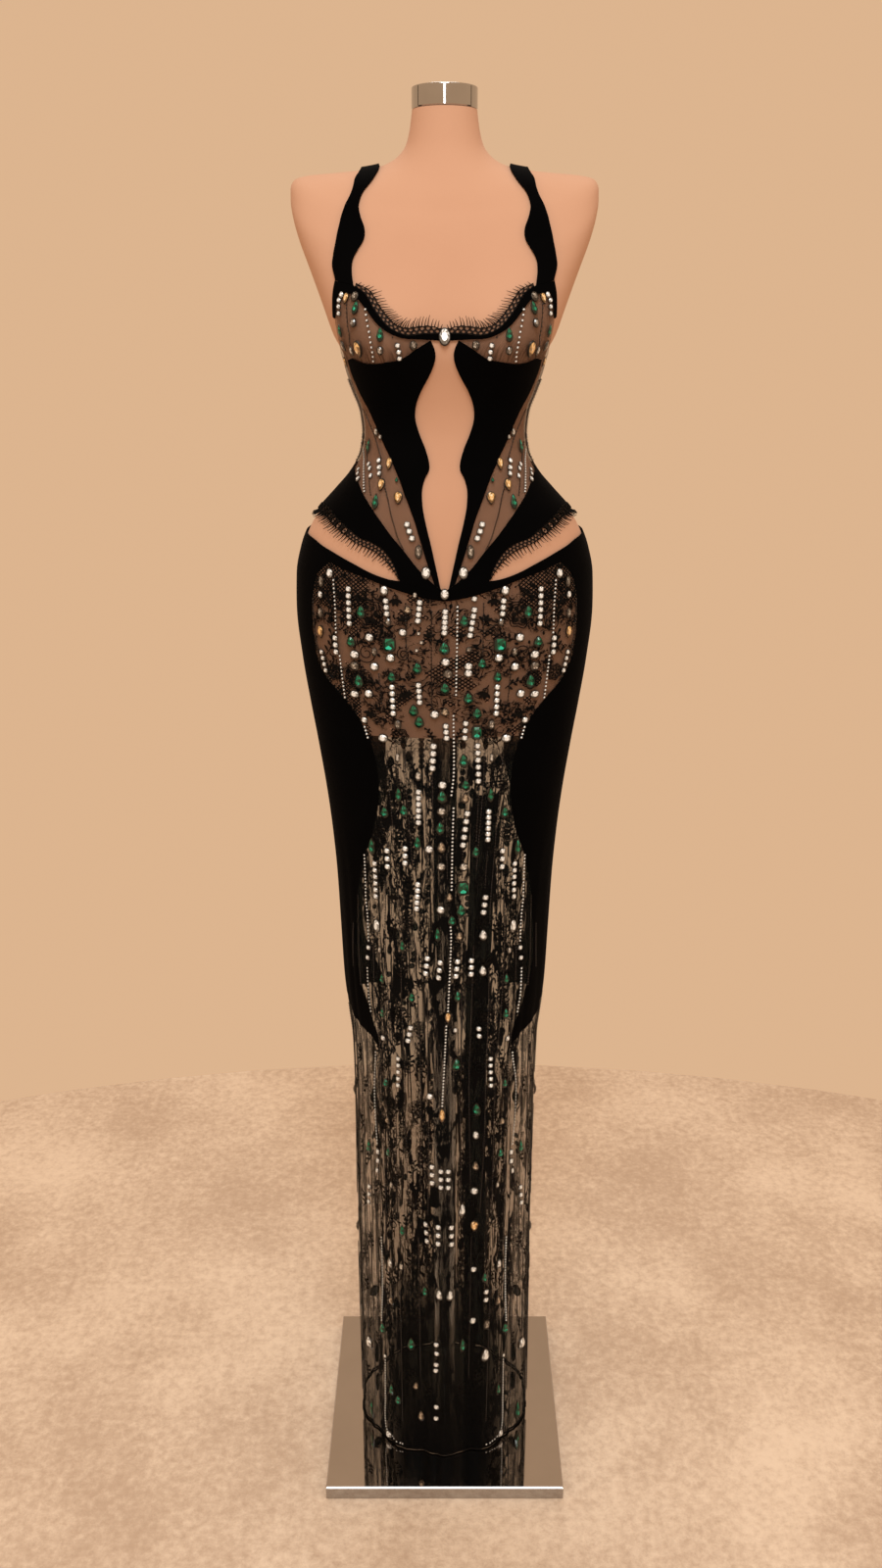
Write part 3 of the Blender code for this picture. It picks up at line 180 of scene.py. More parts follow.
# Edges of the pattern pieces on the +X side: angle, level
EDGES = {
    "edging_top": ((30.0, 1.5250), (25.5, 1.5190), (23.3, 1.5085), (20.6, 1.4980),
                   (17.6, 1.4900), (13.4, 1.4860), (8.0, 1.4875), (0.0, 1.4885)),
    "edging_bottom": ((38.7, 1.5160), (31.0, 1.5160), (26.6, 1.5063), (23.4, 1.4958),
                      (19.6, 1.4880), (15.1, 1.4832), (10.6, 1.4826), (5.5, 1.4820)),
    "edging_middle": ((5.5, 1.4820), (0.0, 1.4812)),
    "strap_end": ((30.0, 1.5250), (39.2, 1.5250)),
    "armhole_top": ((39.2, 1.5250), (42.3, 1.5165), (46.5, 1.5055), (51.0, 1.4955)),
    "binding_bottom": ((38.7, 1.5160), (42.0, 1.5090), (46.0, 1.5000), (49.6, 1.4945)),
    "cup_side": ((49.6, 1.4945), (53.5, 1.4860), (58.0, 1.4780)),
    "cup_corner": ((58.0, 1.4780), (62.0, 1.4700), (65.0, 1.4625)),
    "cup_seam": ((5.5, 1.4820), (11.0, 1.4745), (17.9, 1.4655), (25.0, 1.4622),
                 (33.0, 1.4604), (40.0, 1.4610), (50.0, 1.4645), (58.0, 1.4632)),
    "cup_seam_end": ((58.0, 1.4632), (65.0, 1.4625)),
    "keyhole": ((5.5, 1.4820), (4.0, 1.4705), (4.7, 1.4604), (7.7, 1.4470),
                (12.7, 1.4311), (16.9, 1.4151), (17.9, 1.4030), (16.1, 1.3888),
                (12.1, 1.3737), (9.3, 1.3597), (8.9, 1.3517), (10.6, 1.3437),
                (11.3, 1.3336), (10.0, 1.3178), (7.7, 1.2999), (5.1, 1.2788),
                (2.9, 1.2520), (1.3, 1.2292)),
    "front_tip": ((1.3, 1.2292), (3.4, 1.2335)),
    "front_side": ((58.0, 1.4632), (59.5, 1.4480), (59.0, 1.4270), (55.0, 1.4070),
                   (46.5, 1.3830), (35.7, 1.3620), (23.7, 1.3370), (14.5, 1.3096),
                   (9.5, 1.2847), (6.2, 1.2582), (3.4, 1.2335)),
    "side_seam": ((65.0, 1.4625), (75.0, 1.4520), (84.0, 1.4320), (88.0, 1.4050),
                  (88.0, 1.3515)),
    "sweep_top": ((88.0, 1.3515), (68.0, 1.3425), (51.7, 1.3317), (34.3, 1.3119),
                  (22.4, 1.2899), (14.7, 1.2702), (8.8, 1.2498), (3.4, 1.2335)),
    "sweep_back": ((88.0, 1.3515), (110.0, 1.3500), (140.0, 1.3480), (176.0, 1.3460)),
    "sweep_tip": ((1.3, 1.2292), (0.0, 1.2250), (0.0, 1.2200)),
    "sweep_joint": ((0.0, 1.2200), (4.7, 1.2265), (10.0, 1.2320), (15.0, 1.2370)),
    "cutout_top": ((15.0, 1.2370), (16.2, 1.2473), (18.7, 1.2596), (22.1, 1.2697),
                   (27.5, 1.2773), (33.2, 1.2812), (39.2, 1.2877), (50.1, 1.2971),
                   (63.4, 1.3055), (79.7, 1.3075), (100.0, 1.3040), (125.0, 1.2930),
                   (140.0, 1.2830), (148.0, 1.2760)),
    "cutout_bottom_front": ((15.0, 1.2370), (19.0, 1.2385), (25.6, 1.2443),
                            (34.0, 1.2536), (45.0, 1.2635), (52.0, 1.2680)),
    "cutout_bottom_side": ((52.0, 1.2680), (64.0, 1.2740), (85.0, 1.2765),
                           (110.0, 1.2785), (134.0, 1.2785)),
    "cutout_bottom_back": ((134.0, 1.2785), (141.0, 1.2775), (148.0, 1.2760)),
    "sweep_joint_back": ((148.0, 1.2760), (162.0, 1.2715), (176.0, 1.2690)),
    "band_end": ((52.0, 1.2680), (46.4, 1.2533)),
    "band_bottom": ((46.4, 1.2533), (37.2, 1.2457), (27.8, 1.2388), (20.2, 1.2313),
                    (11.2, 1.2225), (4.4, 1.2172), (0.0, 1.2155)),
    "velvet_front": ((46.4, 1.2533), (52.6, 1.2401), (56.2, 1.2185), (56.8, VELVET_ALIKE),
                     (57.0, 1.1695), (56.4, 1.1458), (52.7, 1.1266), (46.4, 1.1116),
                     (39.9, 1.0963), (35.1, 1.0801), (32.0, 1.0634), (29.6, 1.0453),
                     (28.4, 1.0280), (28.4, 1.0080), (29.6, 0.9840), (32.4, 0.9602),
                     (36.9, 0.9343), (43.4, 0.9067), (49.0, 0.8760), (53.0, 0.8450),
                     (55.6, 0.8100), (56.8, 0.7704), (55.3, 0.7382), (52.1, 0.7210),
                     (48.7, 0.7026), (45.4, 0.6830), (41.8, 0.6600), (40.5, 0.6476)),
    "velvet_hem": ((40.5, 0.6476), (43.8, 0.6530), (48.1, 0.6605), (54.4, 0.6661),
                   (63.6, 0.6710), (72.0, 0.6780), (82.0, 0.6930), (90.0, 0.7000)),
    "velvet_back_top": ((134.0, 1.2785), (128.0, 1.2600), (124.5, 1.2400),
                        (123.2, VELVET_ALIKE)),
    "back_top": ((58.0, 1.4780), (70.0, 1.4700), (90.0, 1.4620), (125.0, 1.4540),
                 (155.0, 1.4500), (176.0, 1.4490)),
    "back_centre": ((176.0, 1.4490), (176.0, 1.3460)),
    "sweep_centre": ((176.0, 1.3460), (176.0, 1.2690)),
    "skirt_slot": ((176.0, 1.2690), (176.0, PLACKET_BOTTOM)),
    "slot_end": ((176.0, PLACKET_BOTTOM), (180.0, PLACKET_BOTTOM)),
    "tube_seam": ((90.0, 0.7000), (90.0, HEM)),
    "hem_front": ((90.0, HEM), (0.0, HEM)),
    "hem_back": ((90.0, HEM), (180.0, HEM)),
}

# Strap: level, x of the inner edge, x of the outer edge, at the front and at the back
STRAP_FRONT = (
    (1.5265, 0.0915, 0.1095), (1.5370, 0.0930, 0.1125), (1.5475, 0.0922, 0.1115),
    (1.5585, 0.0870, 0.1095), (1.5690, 0.0812, 0.1075), (1.5795, 0.0805, 0.1050),
    (1.5900, 0.0848, 0.1020), (1.6020, 0.0860, 0.0968), (1.6130, 0.0815, 0.0925),
    (1.6230, 0.0740, 0.0895),
)
# Strap over the front of the shoulder: angle and level of the inner and the outer edge
STRAP_RIDGE = (
    (51.4, 1.6326, 61.8, 1.6277), (62.0, 1.6375, 70.0, 1.6305),
    (71.0, 1.6398, 76.5, 1.6318), (80.5, 1.6408, 83.5, 1.6324), (90.0, 1.6410, 90.0, 1.6325),
)
STRAP_BACK = (
    (1.6260, 0.0722, 0.0900), (1.6190, 0.0715, 0.0897), (1.6110, 0.0705, 0.0888),
    (1.6010, 0.0690, 0.0875), (1.5860, 0.0667, 0.0857), (1.5700, 0.0640, 0.0835),
    (1.5400, 0.0600, 0.0800), (1.5100, 0.0575, 0.0775), (1.4950, 0.0566, 0.0766),
    (1.4800, 0.0560, 0.0760), (1.4520, 0.0550, 0.0750),
)
# Steps across a strap, and between two of its rows
STRAP_ACROSS = 8
STRAP_FINE = 5

# Facing of the back vent: its edges, top and bottom
FACING_ANGLES = (150.0, 165.0)
FACING_LEVELS = (0.920, 0.026)

# Stones: kinds are c clear round, o clear oval, p clear pear, e emerald pear, E emerald
# octagon, g gold pear with its point down, m gold marquise, k smoky, s silver and t tan.
# A row of stones: first angle and level, last angle and level, how many, size in mm
ROWS_BOTH_SIDES = (
    (-40.2, 1.5090, -43.4, 1.4990, 3, 5.0), (-18.1, 1.477, -19.2, 1.466, 3, 5.1),
    (-14.8, 1.296, -11.8, 1.282, 3, 6.3), (-42.0, 1.170, -42.2, 1.154, 3, 6.5),
    (-51.5, 1.151, -50.2, 1.130, 4, 5.6), (-34.9, 1.226, -34.5, 1.188, 6, 6.4),
    (-19.9, 1.215, -19.5, 1.201, 3, 6.4), (-18.8, 1.118, -19.1, 1.087, 5, 6.6),
    (-28.4, 0.919, -29.0, 0.899, 3, 6.9), (-36.5, 0.900, -37.8, 0.857, 6, 6.6),
    (-45.1, 0.786, -46.0, 0.772, 2, 6.0), (-27.9, 0.644, -28.5, 0.606, 5, 5.8),
    (-57.6, 0.427, -58.6, 0.402, 3, 6.7), (-2.1, 0.488, -2.1, 0.464, 3, 6.8),
    (-3.6, 0.402, -3.7, 0.376, 3, 7.3),
)
ROWS_ONCE = (
    (-8.2, 1.214, -8.8, 1.194, 4, 6.4), (-9.1, 1.121, -8.9, 1.101, 4, 6.5),
    (0.4, 1.073, 0.7, 1.059, 3, 6.6), (7.7, 1.076, 7.5, 1.059, 3, 6.6),
    (0.2, 1.204, -0.1, 1.181, 5, 6.6), (9.8, 1.206, 8.4, 1.178, 5, 6.5),
    (8.1, 1.143, 8.1, 1.135, 2, 8.6), (-4.2, 1.049, -4.8, 1.023, 4, 7.3),
    (9.8, 0.968, 8.5, 0.930, 5, 7.0), (12.6, 1.049, 13.7, 1.007, 6, 6.7),
    (19.5, 0.969, 20.3, 0.935, 6, 6.6), (-10.8, 0.994, -11.6, 0.957, 6, 6.7),
    (-18.8, 0.924, -19.4, 0.906, 3, 6.8), (-13.4, 0.880, -14.5, 0.849, 5, 6.9),
    (21.5, 0.862, 20.8, 0.843, 3, 6.9), (-9.0, 0.786, -9.8, 0.766, 3, 7.0),
    (-1.9, 0.782, -2.6, 0.762, 3, 7.0), (6.5, 0.782, 5.6, 0.763, 3, 7.0),
    (14.5, 0.781, 14.4, 0.763, 3, 7.0), (-20.0, 0.689, -21.5, 0.671, 3, 6.8),
    (20.7, 0.687, 21.1, 0.677, 2, 6.6), (-7.9, 0.493, -7.8, 0.469, 3, 7.0),
    (-11.2, 0.402, -10.3, 0.377, 3, 7.6), (27.0, 0.291, 26.9, 0.278, 2, 7.2),
    (-5.4, 0.177, -5.9, 0.167, 2, 7.2), (-5.3, 0.211, -4.8, 0.196, 2, 7.2),
    (-5.3, 0.104, -5.7, 0.084, 2, 7.3),
)
# Single stones: kind, angle, level, width and height in mm
STONES_BOTH_SIDES = (
    ("c", -37.5, 1.514, 5, 6), ("g", -35.4, 1.512, 6, 10), ("k", -30.4, 1.515, 7, 9),
    ("e", -31.2, 1.506, 6, 11), ("k", -34.5, 1.494, 7, 8),
    ("e", -23.0, 1.486, 6, 11), ("e", -48.4, 1.487, 5, 10), ("g", -38.9, 1.474, 10, 15),
    ("s", -46.6, 1.472, 5, 9), ("k", -53.7, 1.476, 6, 10), ("k", -26.1, 1.473, 6, 8),
    ("g", -63.2, 1.461, 6, 9), ("k", -12.3, 1.4772, 7, 8),
    ("s", -51.9, 1.389, 5, 8), ("s", -47.3, 1.384, 4, 5), ("e", -62.2, 1.373, 5, 12),
    ("g", -35.9, 1.357, 7, 12), ("c", -45.7, 1.359, 5, 6), ("c", -42.8, 1.352, 6, 6),
    ("c", -40.7, 1.346, 5, 6), ("c", -55.0, 1.354, 4, 6), ("c", -51.5, 1.350, 4, 6),
    ("c", -47.3, 1.343, 4, 6), ("c", -65.5, 1.347, 4, 5), ("c", -62.9, 1.343, 4, 5),
    ("c", -58.1, 1.338, 5, 6), ("g", -35.5, 1.335, 8, 12), ("e", -27.0, 1.341, 3, 4),
    ("g", -22.3, 1.323, 9, 12), ("e", -33.7, 1.318, 6, 13), ("k", -9.0, 1.268, 7, 13),
    ("o", -6.2, 1.246, 9, 12),
    ("o", -44.7, 1.241, 8, 10), ("c", -50.0, 1.2165, 6, 8), ("g", -50.5, 1.175, 8, 13),
    ("k", -50.0, 1.196, 6, 10), ("k", -49.6, 1.231, 6, 11), ("e", -29.4, 1.202, 8, 12),
    ("c", -26.3, 1.174, 9, 9), ("e", -34.2, 1.168, 9, 10), ("o", -33.1, 1.1535, 10, 9),
    ("k", -33.6, 1.140, 10, 10), ("e", -32.3, 1.123, 9, 13), ("c", -25.1, 1.141, 9, 9),
    ("o", -35.0, 1.107, 10, 8), ("c", -28.5, 1.109, 9, 9), ("o", -20.5, 1.2265, 8, 10),
    ("k", -19.1, 1.192, 6, 8), ("E", -18.9, 1.167, 12, 14), ("c", -18.7, 1.152, 9, 9),
    ("e", -18.7, 1.130, 8, 10), ("k", -24.7, 1.158, 6, 9), ("k", -17.6, 1.074, 7, 10),
    ("c", -31.8, 1.077, 7, 7), ("o", -24.1, 1.057, 10, 9),
    ("s", -18.6, 1.034, 4, 10), ("e", -19.7, 0.990, 6, 14), ("e", -27.4, 0.967, 8, 11),
    ("e", -37.2, 0.921, 7, 17), ("o", -37.9, 0.819, 9, 16), ("s", -36.0, 0.788, 5, 8),
    ("e", -34.6, 0.751, 6, 11), ("e", -35.5, 0.703, 7, 12), ("c", -38.2, 0.666, 7, 7),
    ("e", -38.5, 0.602, 7, 10), ("t", -37.0, 0.548, 8, 9), ("c", -47.2, 0.492, 6, 8),
    ("c", -47.4, 0.478, 6, 8), ("c", -48.3, 0.462, 5, 8), ("e", -56.5, 0.491, 8, 17),
    ("e", -36.1, 0.501, 8, 11), ("s", -34.1, 0.454, 5, 8), ("o", -36.1, 0.327, 8, 12),
    ("p", -2.9, 0.295, 9, 16), ("t", -35.6, 0.268, 9, 12), ("e", -45.5, 0.210, 9, 13),
    ("c", -43.6, 0.164, 5, 5), ("o", -61.5, 0.164, 14, 16), ("e", -37.8, 0.113, 7, 15),
    ("e", -59.5, 0.048, 8, 27), ("c", -41.0, 0.030, 10, 11), ("k", -86.0, 0.545, 9, 13),
    ("c", -88.0, 0.184, 8, 9), ("k", -80.0, 0.335, 8, 12),
)
STONES_ONCE = (
    ("c", -14.0, 1.181, 8, 8), ("s", -9.8, 1.222, 4, 6), ("t", -12.3, 1.206, 8, 8),
    ("s", -8.6, 1.180, 4, 4), ("s", -7.7, 1.170, 4, 4), ("s", -9.4, 1.161, 4, 4),
    ("e", -9.3, 1.141, 9, 11), ("e", -11.2, 1.0915, 9, 11), ("e", -9.3, 1.078, 9, 11),
    ("c", -3.6, 1.087, 9, 9), ("t", 0.1, 1.090, 9, 9), ("E", 12.0, 1.065, 10, 14),
    ("e", 11.8, 1.088, 9, 11), ("e", 8.4, 1.106, 9, 11), ("c", 9.8, 1.218, 6, 6),
    ("e", -0.1, 1.164, 10, 12), ("c", 0.3, 1.148, 9, 9), ("k", 1.1, 1.134, 10, 10),
    ("e", 0.1, 1.118, 9, 11), ("e", 6.4, 1.194, 8, 11), ("k", 8.1, 1.162, 6, 6),
    ("e", 12.8, 1.146, 8, 10), ("c", -0.9, 1.003, 9, 9), ("e", -1.1, 0.989, 9, 12),
    ("s", -1.3, 0.971, 9, 9), ("e", -1.9, 0.951, 8, 12), ("t", -1.4, 0.928, 9, 12),
    ("e", 7.3, 1.032, 8, 13), ("e", 8.5, 1.003, 8, 10), ("t", 8.7, 0.987, 8, 11),
    ("e", 14.7, 0.921, 7, 11), ("s", -10.6, 1.013, 6, 10), ("e", -17.9, 0.971, 8, 12),
    ("e", -12.5, 0.932, 7, 14), ("c", -7.2, 0.925, 9, 9), ("t", 2.2, 0.866, 7, 10),
    ("g", 1.5, 0.7085, 7, 13), ("m", -1.5, 0.571, 7, 17), ("s", -1.5, 0.904, 9, 9),
    ("s", 9.2, 0.903, 9, 9), ("E", 9.1, 0.876, 12, 15), ("e", 8.3, 0.848, 9, 13),
    ("c", -1.7, 0.850, 9, 9), ("e", 3.4, 0.836, 8, 10), ("e", -3.2, 0.818, 6, 14),
    ("t", 7.5, 0.815, 8, 10), ("p", 21.1, 0.814, 9, 13), ("p", 21.6, 0.767, 9, 13),
    ("e", -23.0, 0.799, 5, 12), ("e", -18.8, 0.731, 7, 11), ("e", 6.5, 0.736, 7, 12),
    ("c", 5.4, 0.690, 5, 6), ("e", 6.0, 0.642, 10, 14), ("c", -8.7, 0.596, 8, 8),
    ("e", 21.0, 0.573, 9, 14), ("o", 20.6, 0.535, 7, 11), ("t", 20.6, 0.489, 8, 12),
    ("c", 19.7, 0.451, 9, 10), ("p", 10.4, 0.425, 10, 18), ("g", 19.9, 0.397, 10, 15),
    ("e", -27.7, 0.388, 6, 14), ("s", -28.6, 0.330, 5, 10), ("o", 19.4, 0.328, 8, 8),
    ("e", 26.1, 0.315, 6, 13), ("e", -13.1, 0.294, 6, 13), ("o", 19.1, 0.244, 8, 10),
    ("k", 27.7, 0.236, 8, 14), ("e", -22.6, 0.206, 8, 16), ("e", 11.4, 0.206, 7, 17),
    ("p", 26.9, 0.186, 12, 20), ("e", -32.1, 0.104, 7, 12), ("t", -20.1, 0.134, 7, 11),
    ("t", -16.3, 0.082, 8, 16),
)
# Stones of the upper back, on both sides
STONES_UPPER_BACK = (
    ("e", 112.0, 1.425, 7, 12), ("c", 112.5, 1.410, 6, 6), ("c", 112.8, 1.402, 6, 6),
    ("g", 134.0, 1.398, 8, 12), ("c", 134.0, 1.384, 6, 6), ("k", 152.0, 1.432, 7, 10),
    ("c", 152.0, 1.418, 6, 6), ("c", 152.0, 1.410, 6, 6), ("e", 164.0, 1.385, 7, 11),
    ("c", 96.0, 1.380, 6, 6), ("c", 96.0, 1.372, 6, 6),
)
# Runs of small chain stones and of black beads, through angle and level
CHAINS_BOTH_SIDES = (
    ((-26.5, 1.5055), (-27.7, 1.4854), (-32.4, 1.4635)),
    ((-72.1, 1.3680), (-57.0, 1.3471), (-44.6, 1.3270)),
    ((-42.4, 1.2340), (-41.3, 1.2043), (-41.3, 1.1765)),
    ((-40.5, 1.1498), (-40.4, 1.1014)),
    ((-32.1, 1.0684), (-31.2, 1.0560)),
    ((-43.2, 0.9076), (-45.3, 0.8537), (-44.7, 0.8285), (-44.8, 0.7954)),
    ((-46.8, 0.7571), (-46.9, 0.7247), (-46.0, 0.6981)),
    ((-45.8, 0.6400), (-49.2, 0.5802), (-47.8, 0.5041)),
    ((-45.6, 0.3590), (-45.0, 0.3005), (-46.6, 0.2218)),
    ((-43.7, 0.1567), (-44.2, 0.0900), (-44.4, 0.0480), (-42.5, 0.0340), (-36.5, 0.0290),
     (-29.0, 0.0270)),
)
CHAINS_ONCE = (
    ((3.2, 1.0854), (3.6, 1.0163), (2.8, 0.9909)), ((4.2, 1.2095), (4.0, 1.1102)),
    ((3.8, 0.9750), (3.5, 0.9216), (3.3, 0.8750)),
    ((2.8, 0.8276), (3.1, 0.8159), (2.4, 0.7628), (1.6, 0.7172)),
    ((0.7, 0.6965), (-1.4, 0.5845)),
)
BEADS_BOTH_SIDES = (
    ((-35.7, 1.5073), (-40.8, 1.4846), (-44.5, 1.4770)),
    ((-65.8, 1.4122), (-51.3, 1.3784), (-44.0, 1.3620)),
    ((-40.0, 1.3440), (-36.0, 1.3390), (-28.7, 1.3246), (-21.3, 1.2998), (-14.5, 1.2706)),
    ((-68.8, 1.3765), (-58.0, 1.3560)), ((-47.0, 1.3400), (-38.5, 1.3240)),
    ((-18.7, 1.4840), (-18.1, 1.4790)),
    ((-23.6, 1.1330), (-23.3, 1.0950)), ((-12.9, 1.2130), (-12.9, 1.1520)),
    ((-55.5, 1.2100), (-53.5, 1.1450), (-48.0, 1.1180)),
    ((-8.2, 0.9600), (-8.6, 0.8900)), ((-15.4, 1.0400), (-16.0, 0.9860), (-15.6, 0.9000)),
    ((-23.4, 1.0300), (-24.2, 0.9100), (-23.8, 0.8300)),
    ((-31.0, 0.8800), (-32.5, 0.8000), (-31.5, 0.7000), (-31.0, 0.6500)),
    ((-40.9, 0.8300), (-42.0, 0.7300), (-41.5, 0.6500), (-42.0, 0.5600)),
    ((-52.0, 0.8500), (-54.5, 0.7700), (-54.0, 0.7300)),
    ((-57.5, 0.8100), (-61.0, 0.7500)), ((-54.5, 0.6500), (-56.0, 0.5300)),
    ((-62.0, 0.6600), (-63.5, 0.5000), (-62.0, 0.3300), (-64.0, 0.1800)),
    ((-70.5, 0.6700), (-71.5, 0.4700), (-69.5, 0.2900), (-71.0, 0.0600)),
    ((-79.0, 0.6800), (-78.0, 0.5200), (-80.0, 0.3900)), ((-79.0, 0.3100), (-80.5, 0.0500)),
    ((-86.5, 0.6900), (-87.5, 0.5700)), ((-87.0, 0.5200), (-88.0, 0.2100)),
    ((-8.9, 0.7400), (-9.6, 0.6200)), ((-9.2, 0.5700), (-9.8, 0.4200)),
    ((-15.5, 0.8000), (-15.0, 0.6400), (-16.2, 0.4600)),
    ((-24.0, 0.7700), (-25.0, 0.5600), (-23.0, 0.4200)),
    ((-30.5, 0.5900), (-30.0, 0.4100)), ((-41.0, 0.5300), (-40.0, 0.3400)),
    ((-51.5, 0.4400), (-52.5, 0.3000), (-51.0, 0.0600)),
    ((-17.0, 0.3800), (-16.4, 0.1500)), ((-29.5, 0.2900), (-28.5, 0.0700)),
    ((-57.0, 0.3700), (-56.0, 0.0800)),
)
BEADS_ONCE = (
    ((-4.3, 1.2050), (-4.6, 1.0950)), ((14.2, 1.0000), (14.6, 0.9350)),
    ((20.6, 0.9200), (20.9, 0.8750)), ((27.2, 0.9700), (27.6, 0.8400)),
    ((-4.9, 1.0160), (-5.2, 0.9500)), ((9.4, 0.7200), (9.2, 0.6700)),
    ((1.0, 0.9200), (1.2, 0.8900)),
)
BEADS_UPPER_BACK = (
    ((112.0, 1.4480), (112.5, 1.4340)), ((113.0, 1.3960), (113.0, 1.3560)),
    ((134.0, 1.4440), (134.0, 1.4060)), ((134.0, 1.3780), (134.0, 1.3540)),
    ((152.0, 1.4400), (152.0, 1.4390)), ((152.0, 1.4040), (152.0, 1.3540)),
    ((164.0, 1.4420), (164.0, 1.3930)), ((164.0, 1.3770), (164.0, 1.3540)),
    ((96.0, 1.4400), (96.0, 1.3860)), ((96.0, 1.3660), (96.0, 1.3560)),
)
# Lace figures: shape, angle, level, size in mm, turn in degrees
FIGURES_BOTH_SIDES = (
    ("rose", -26.5, 1.200, 15, 0), ("curl", -40.0, 1.188, 12, 30), ("leaf", -45.5, 1.205, 13, 20),
    ("leaf", -46.0, 1.165, 14, -15), ("rose", -33.0, 1.124, 10, 20), ("leaf", -40.5, 1.085, 13, 60),
    ("curl", -28.0, 1.156, 12, 200), ("leaf", -22.0, 1.178, 12, -60), ("bud", -13.5, 1.196, 9, 10),
    ("leaf", -37.5, 1.214, 12, 70), ("curl", -46.5, 1.228, 9, 120), ("rose", -44.8, 1.130, 9, 0),
    ("leaf", -26.5, 1.120, 12, 75), ("bud", -29.0, 1.085, 9, 160), ("curl", -35.5, 1.068, 10, 0),
    ("rose", -17.0, 1.060, 9, 0), ("bud", -14.0, 1.110, 10, 200), ("leaf", -22.5, 1.094, 10, -40),
    ("curl", -14.0, 1.156, 8, 90), ("leaf", -11.5, 1.135, 9, -20), ("bud", -5.0, 1.178, 8, 0),
    ("leaf", -30.5, 1.222, 10, -70), ("bud", -16.5, 1.215, 9, 180), ("leaf", -6.0, 1.062, 9, 20),
    ("rose", -29.5, 1.040, 12, 0), ("leaf", -35.0, 1.022, 12, 30), ("curl", -21.0, 1.018, 10, 20),
    ("leaf", -27.0, 0.996, 13, 0), ("bud", -33.0, 0.985, 9, 0), ("leaf", -16.5, 0.950, 13, 10),
    ("rose", -31.0, 0.940, 10, 0), ("leaf", -24.0, 0.925, 12, -20), ("curl", -34.0, 0.880, 11, 40),
    ("leaf", -18.5, 0.880, 12, 15), ("bud", -27.0, 0.860, 9, 0), ("leaf", -41.0, 0.880, 12, -5),
    ("rose", -20.0, 0.832, 9, 0), ("leaf", -29.0, 0.822, 13, 10), ("curl", -41.5, 0.795, 9, 60),
    ("leaf", -24.0, 0.770, 14, 0), ("leaf", -36.0, 0.728, 13, 5), ("bud", -14.0, 0.752, 9, 0),
    ("rose", -24.5, 0.704, 11, 0), ("leaf", -30.0, 0.670, 13, -5), ("leaf", -15.5, 0.668, 14, 5),
    ("leaf", -38.0, 0.632, 12, 0), ("curl", -22.0, 0.632, 10, 30), ("leaf", -33.0, 0.572, 14, 5),
    ("rose", -18.0, 0.575, 10, 0), ("leaf", -42.5, 0.540, 13, 0), ("leaf", -26.0, 0.520, 14, -5),
    ("leaf", -15.0, 0.505, 14, 5), ("bud", -31.5, 0.470, 10, 0), ("leaf", -41.5, 0.430, 14, 0),
    ("leaf", -20.5, 0.435, 14, -5), ("curl", -34.0, 0.395, 10, 0), ("leaf", -52.5, 0.560, 12, 0),
    ("leaf", -66.5, 0.620, 12, 0), ("leaf", -67.0, 0.520, 13, 5), ("leaf", -74.5, 0.580, 13, 0),
    ("leaf", -59.0, 0.340, 13, 0), ("leaf", -66.0, 0.400, 13, 0), ("leaf", -74.0, 0.430, 13, 5),
    ("leaf", -83.5, 0.620, 13, 0), ("leaf", -83.0, 0.470, 13, 0), ("leaf", -74.5, 0.250, 13, 0),
    ("leaf", -66.5, 0.260, 13, 0), ("leaf", -83.5, 0.270, 13, 0), ("leaf", -54.0, 0.180, 12, 0),
    ("leaf", -24.0, 0.345, 14, 0), ("leaf", -13.0, 0.345, 13, 0), ("leaf", -40.0, 0.300, 13, 5),
    ("leaf", -30.0, 0.250, 13, 0), ("bud", -17.5, 0.250, 9, 0), ("leaf", -38.0, 0.160, 13, 0),
    ("leaf", -24.0, 0.150, 13, 0), ("leaf", -12.0, 0.130, 12, 0), ("leaf", -67.0, 0.110, 12, 0),
    ("leaf", -76.0, 0.120, 12, 0), ("leaf", -85.0, 0.120, 12, 0), ("leaf", -33.0, 0.060, 11, 0),
)
# How far the lace figures end before the seams, radius and lift of their cords, and lift and
# thickness of their petals
FIGURE_MARGIN = 0.0025
FIGURE_CORD = 0.0007
FIGURE_LIFT = 0.0003
PETAL_LIFT = 0.0002
PETAL_RISE = 0.0005

# Camera: how it was fitted to the photo of 900 by 1600 pixels
PHOTO_HEIGHT = 1600
FOCAL_PIXELS = 1313.2
AXIS_OFF_CENTRE = 3.7
CAMERA_BACK = 1.4755
CAMERA_HEIGHT = 1.4968
CAMERA_TILT = 0.3427
SENSOR = 36.0


def smooth_step(value):
    """0 below 0, 1 above 1, smooth between."""
    value = np.clip(value, 0.0, 1.0)
    return value * value * (3.0 - 2.0 * value)


def figure_slopes():
    """Slope of each column at each row, so that the curve never overshoots its rows."""
    slope = np.diff(FIGURE[:, 1:], axis=0) / np.diff(FIGURE[:, 0])[:, None]
    product = slope[:-1] * slope[1:]
    total = slope[:-1] + slope[1:]
    between = np.where(product > 0, 2 * product / np.where(product > 0, total, 1), 0)
    return np.vstack((slope[:1], between, slope[-1:]))


FIGURE_SLOPES = figure_slopes()


def hermite(t):
    """Weights of a smooth curve at t: first value, slope there, last value, slope there."""
    return (2 * t ** 3 - 3 * t ** 2 + 1, t ** 3 - 2 * t ** 2 + t,
            3 * t ** 2 - 2 * t ** 3, t ** 3 - t ** 2)


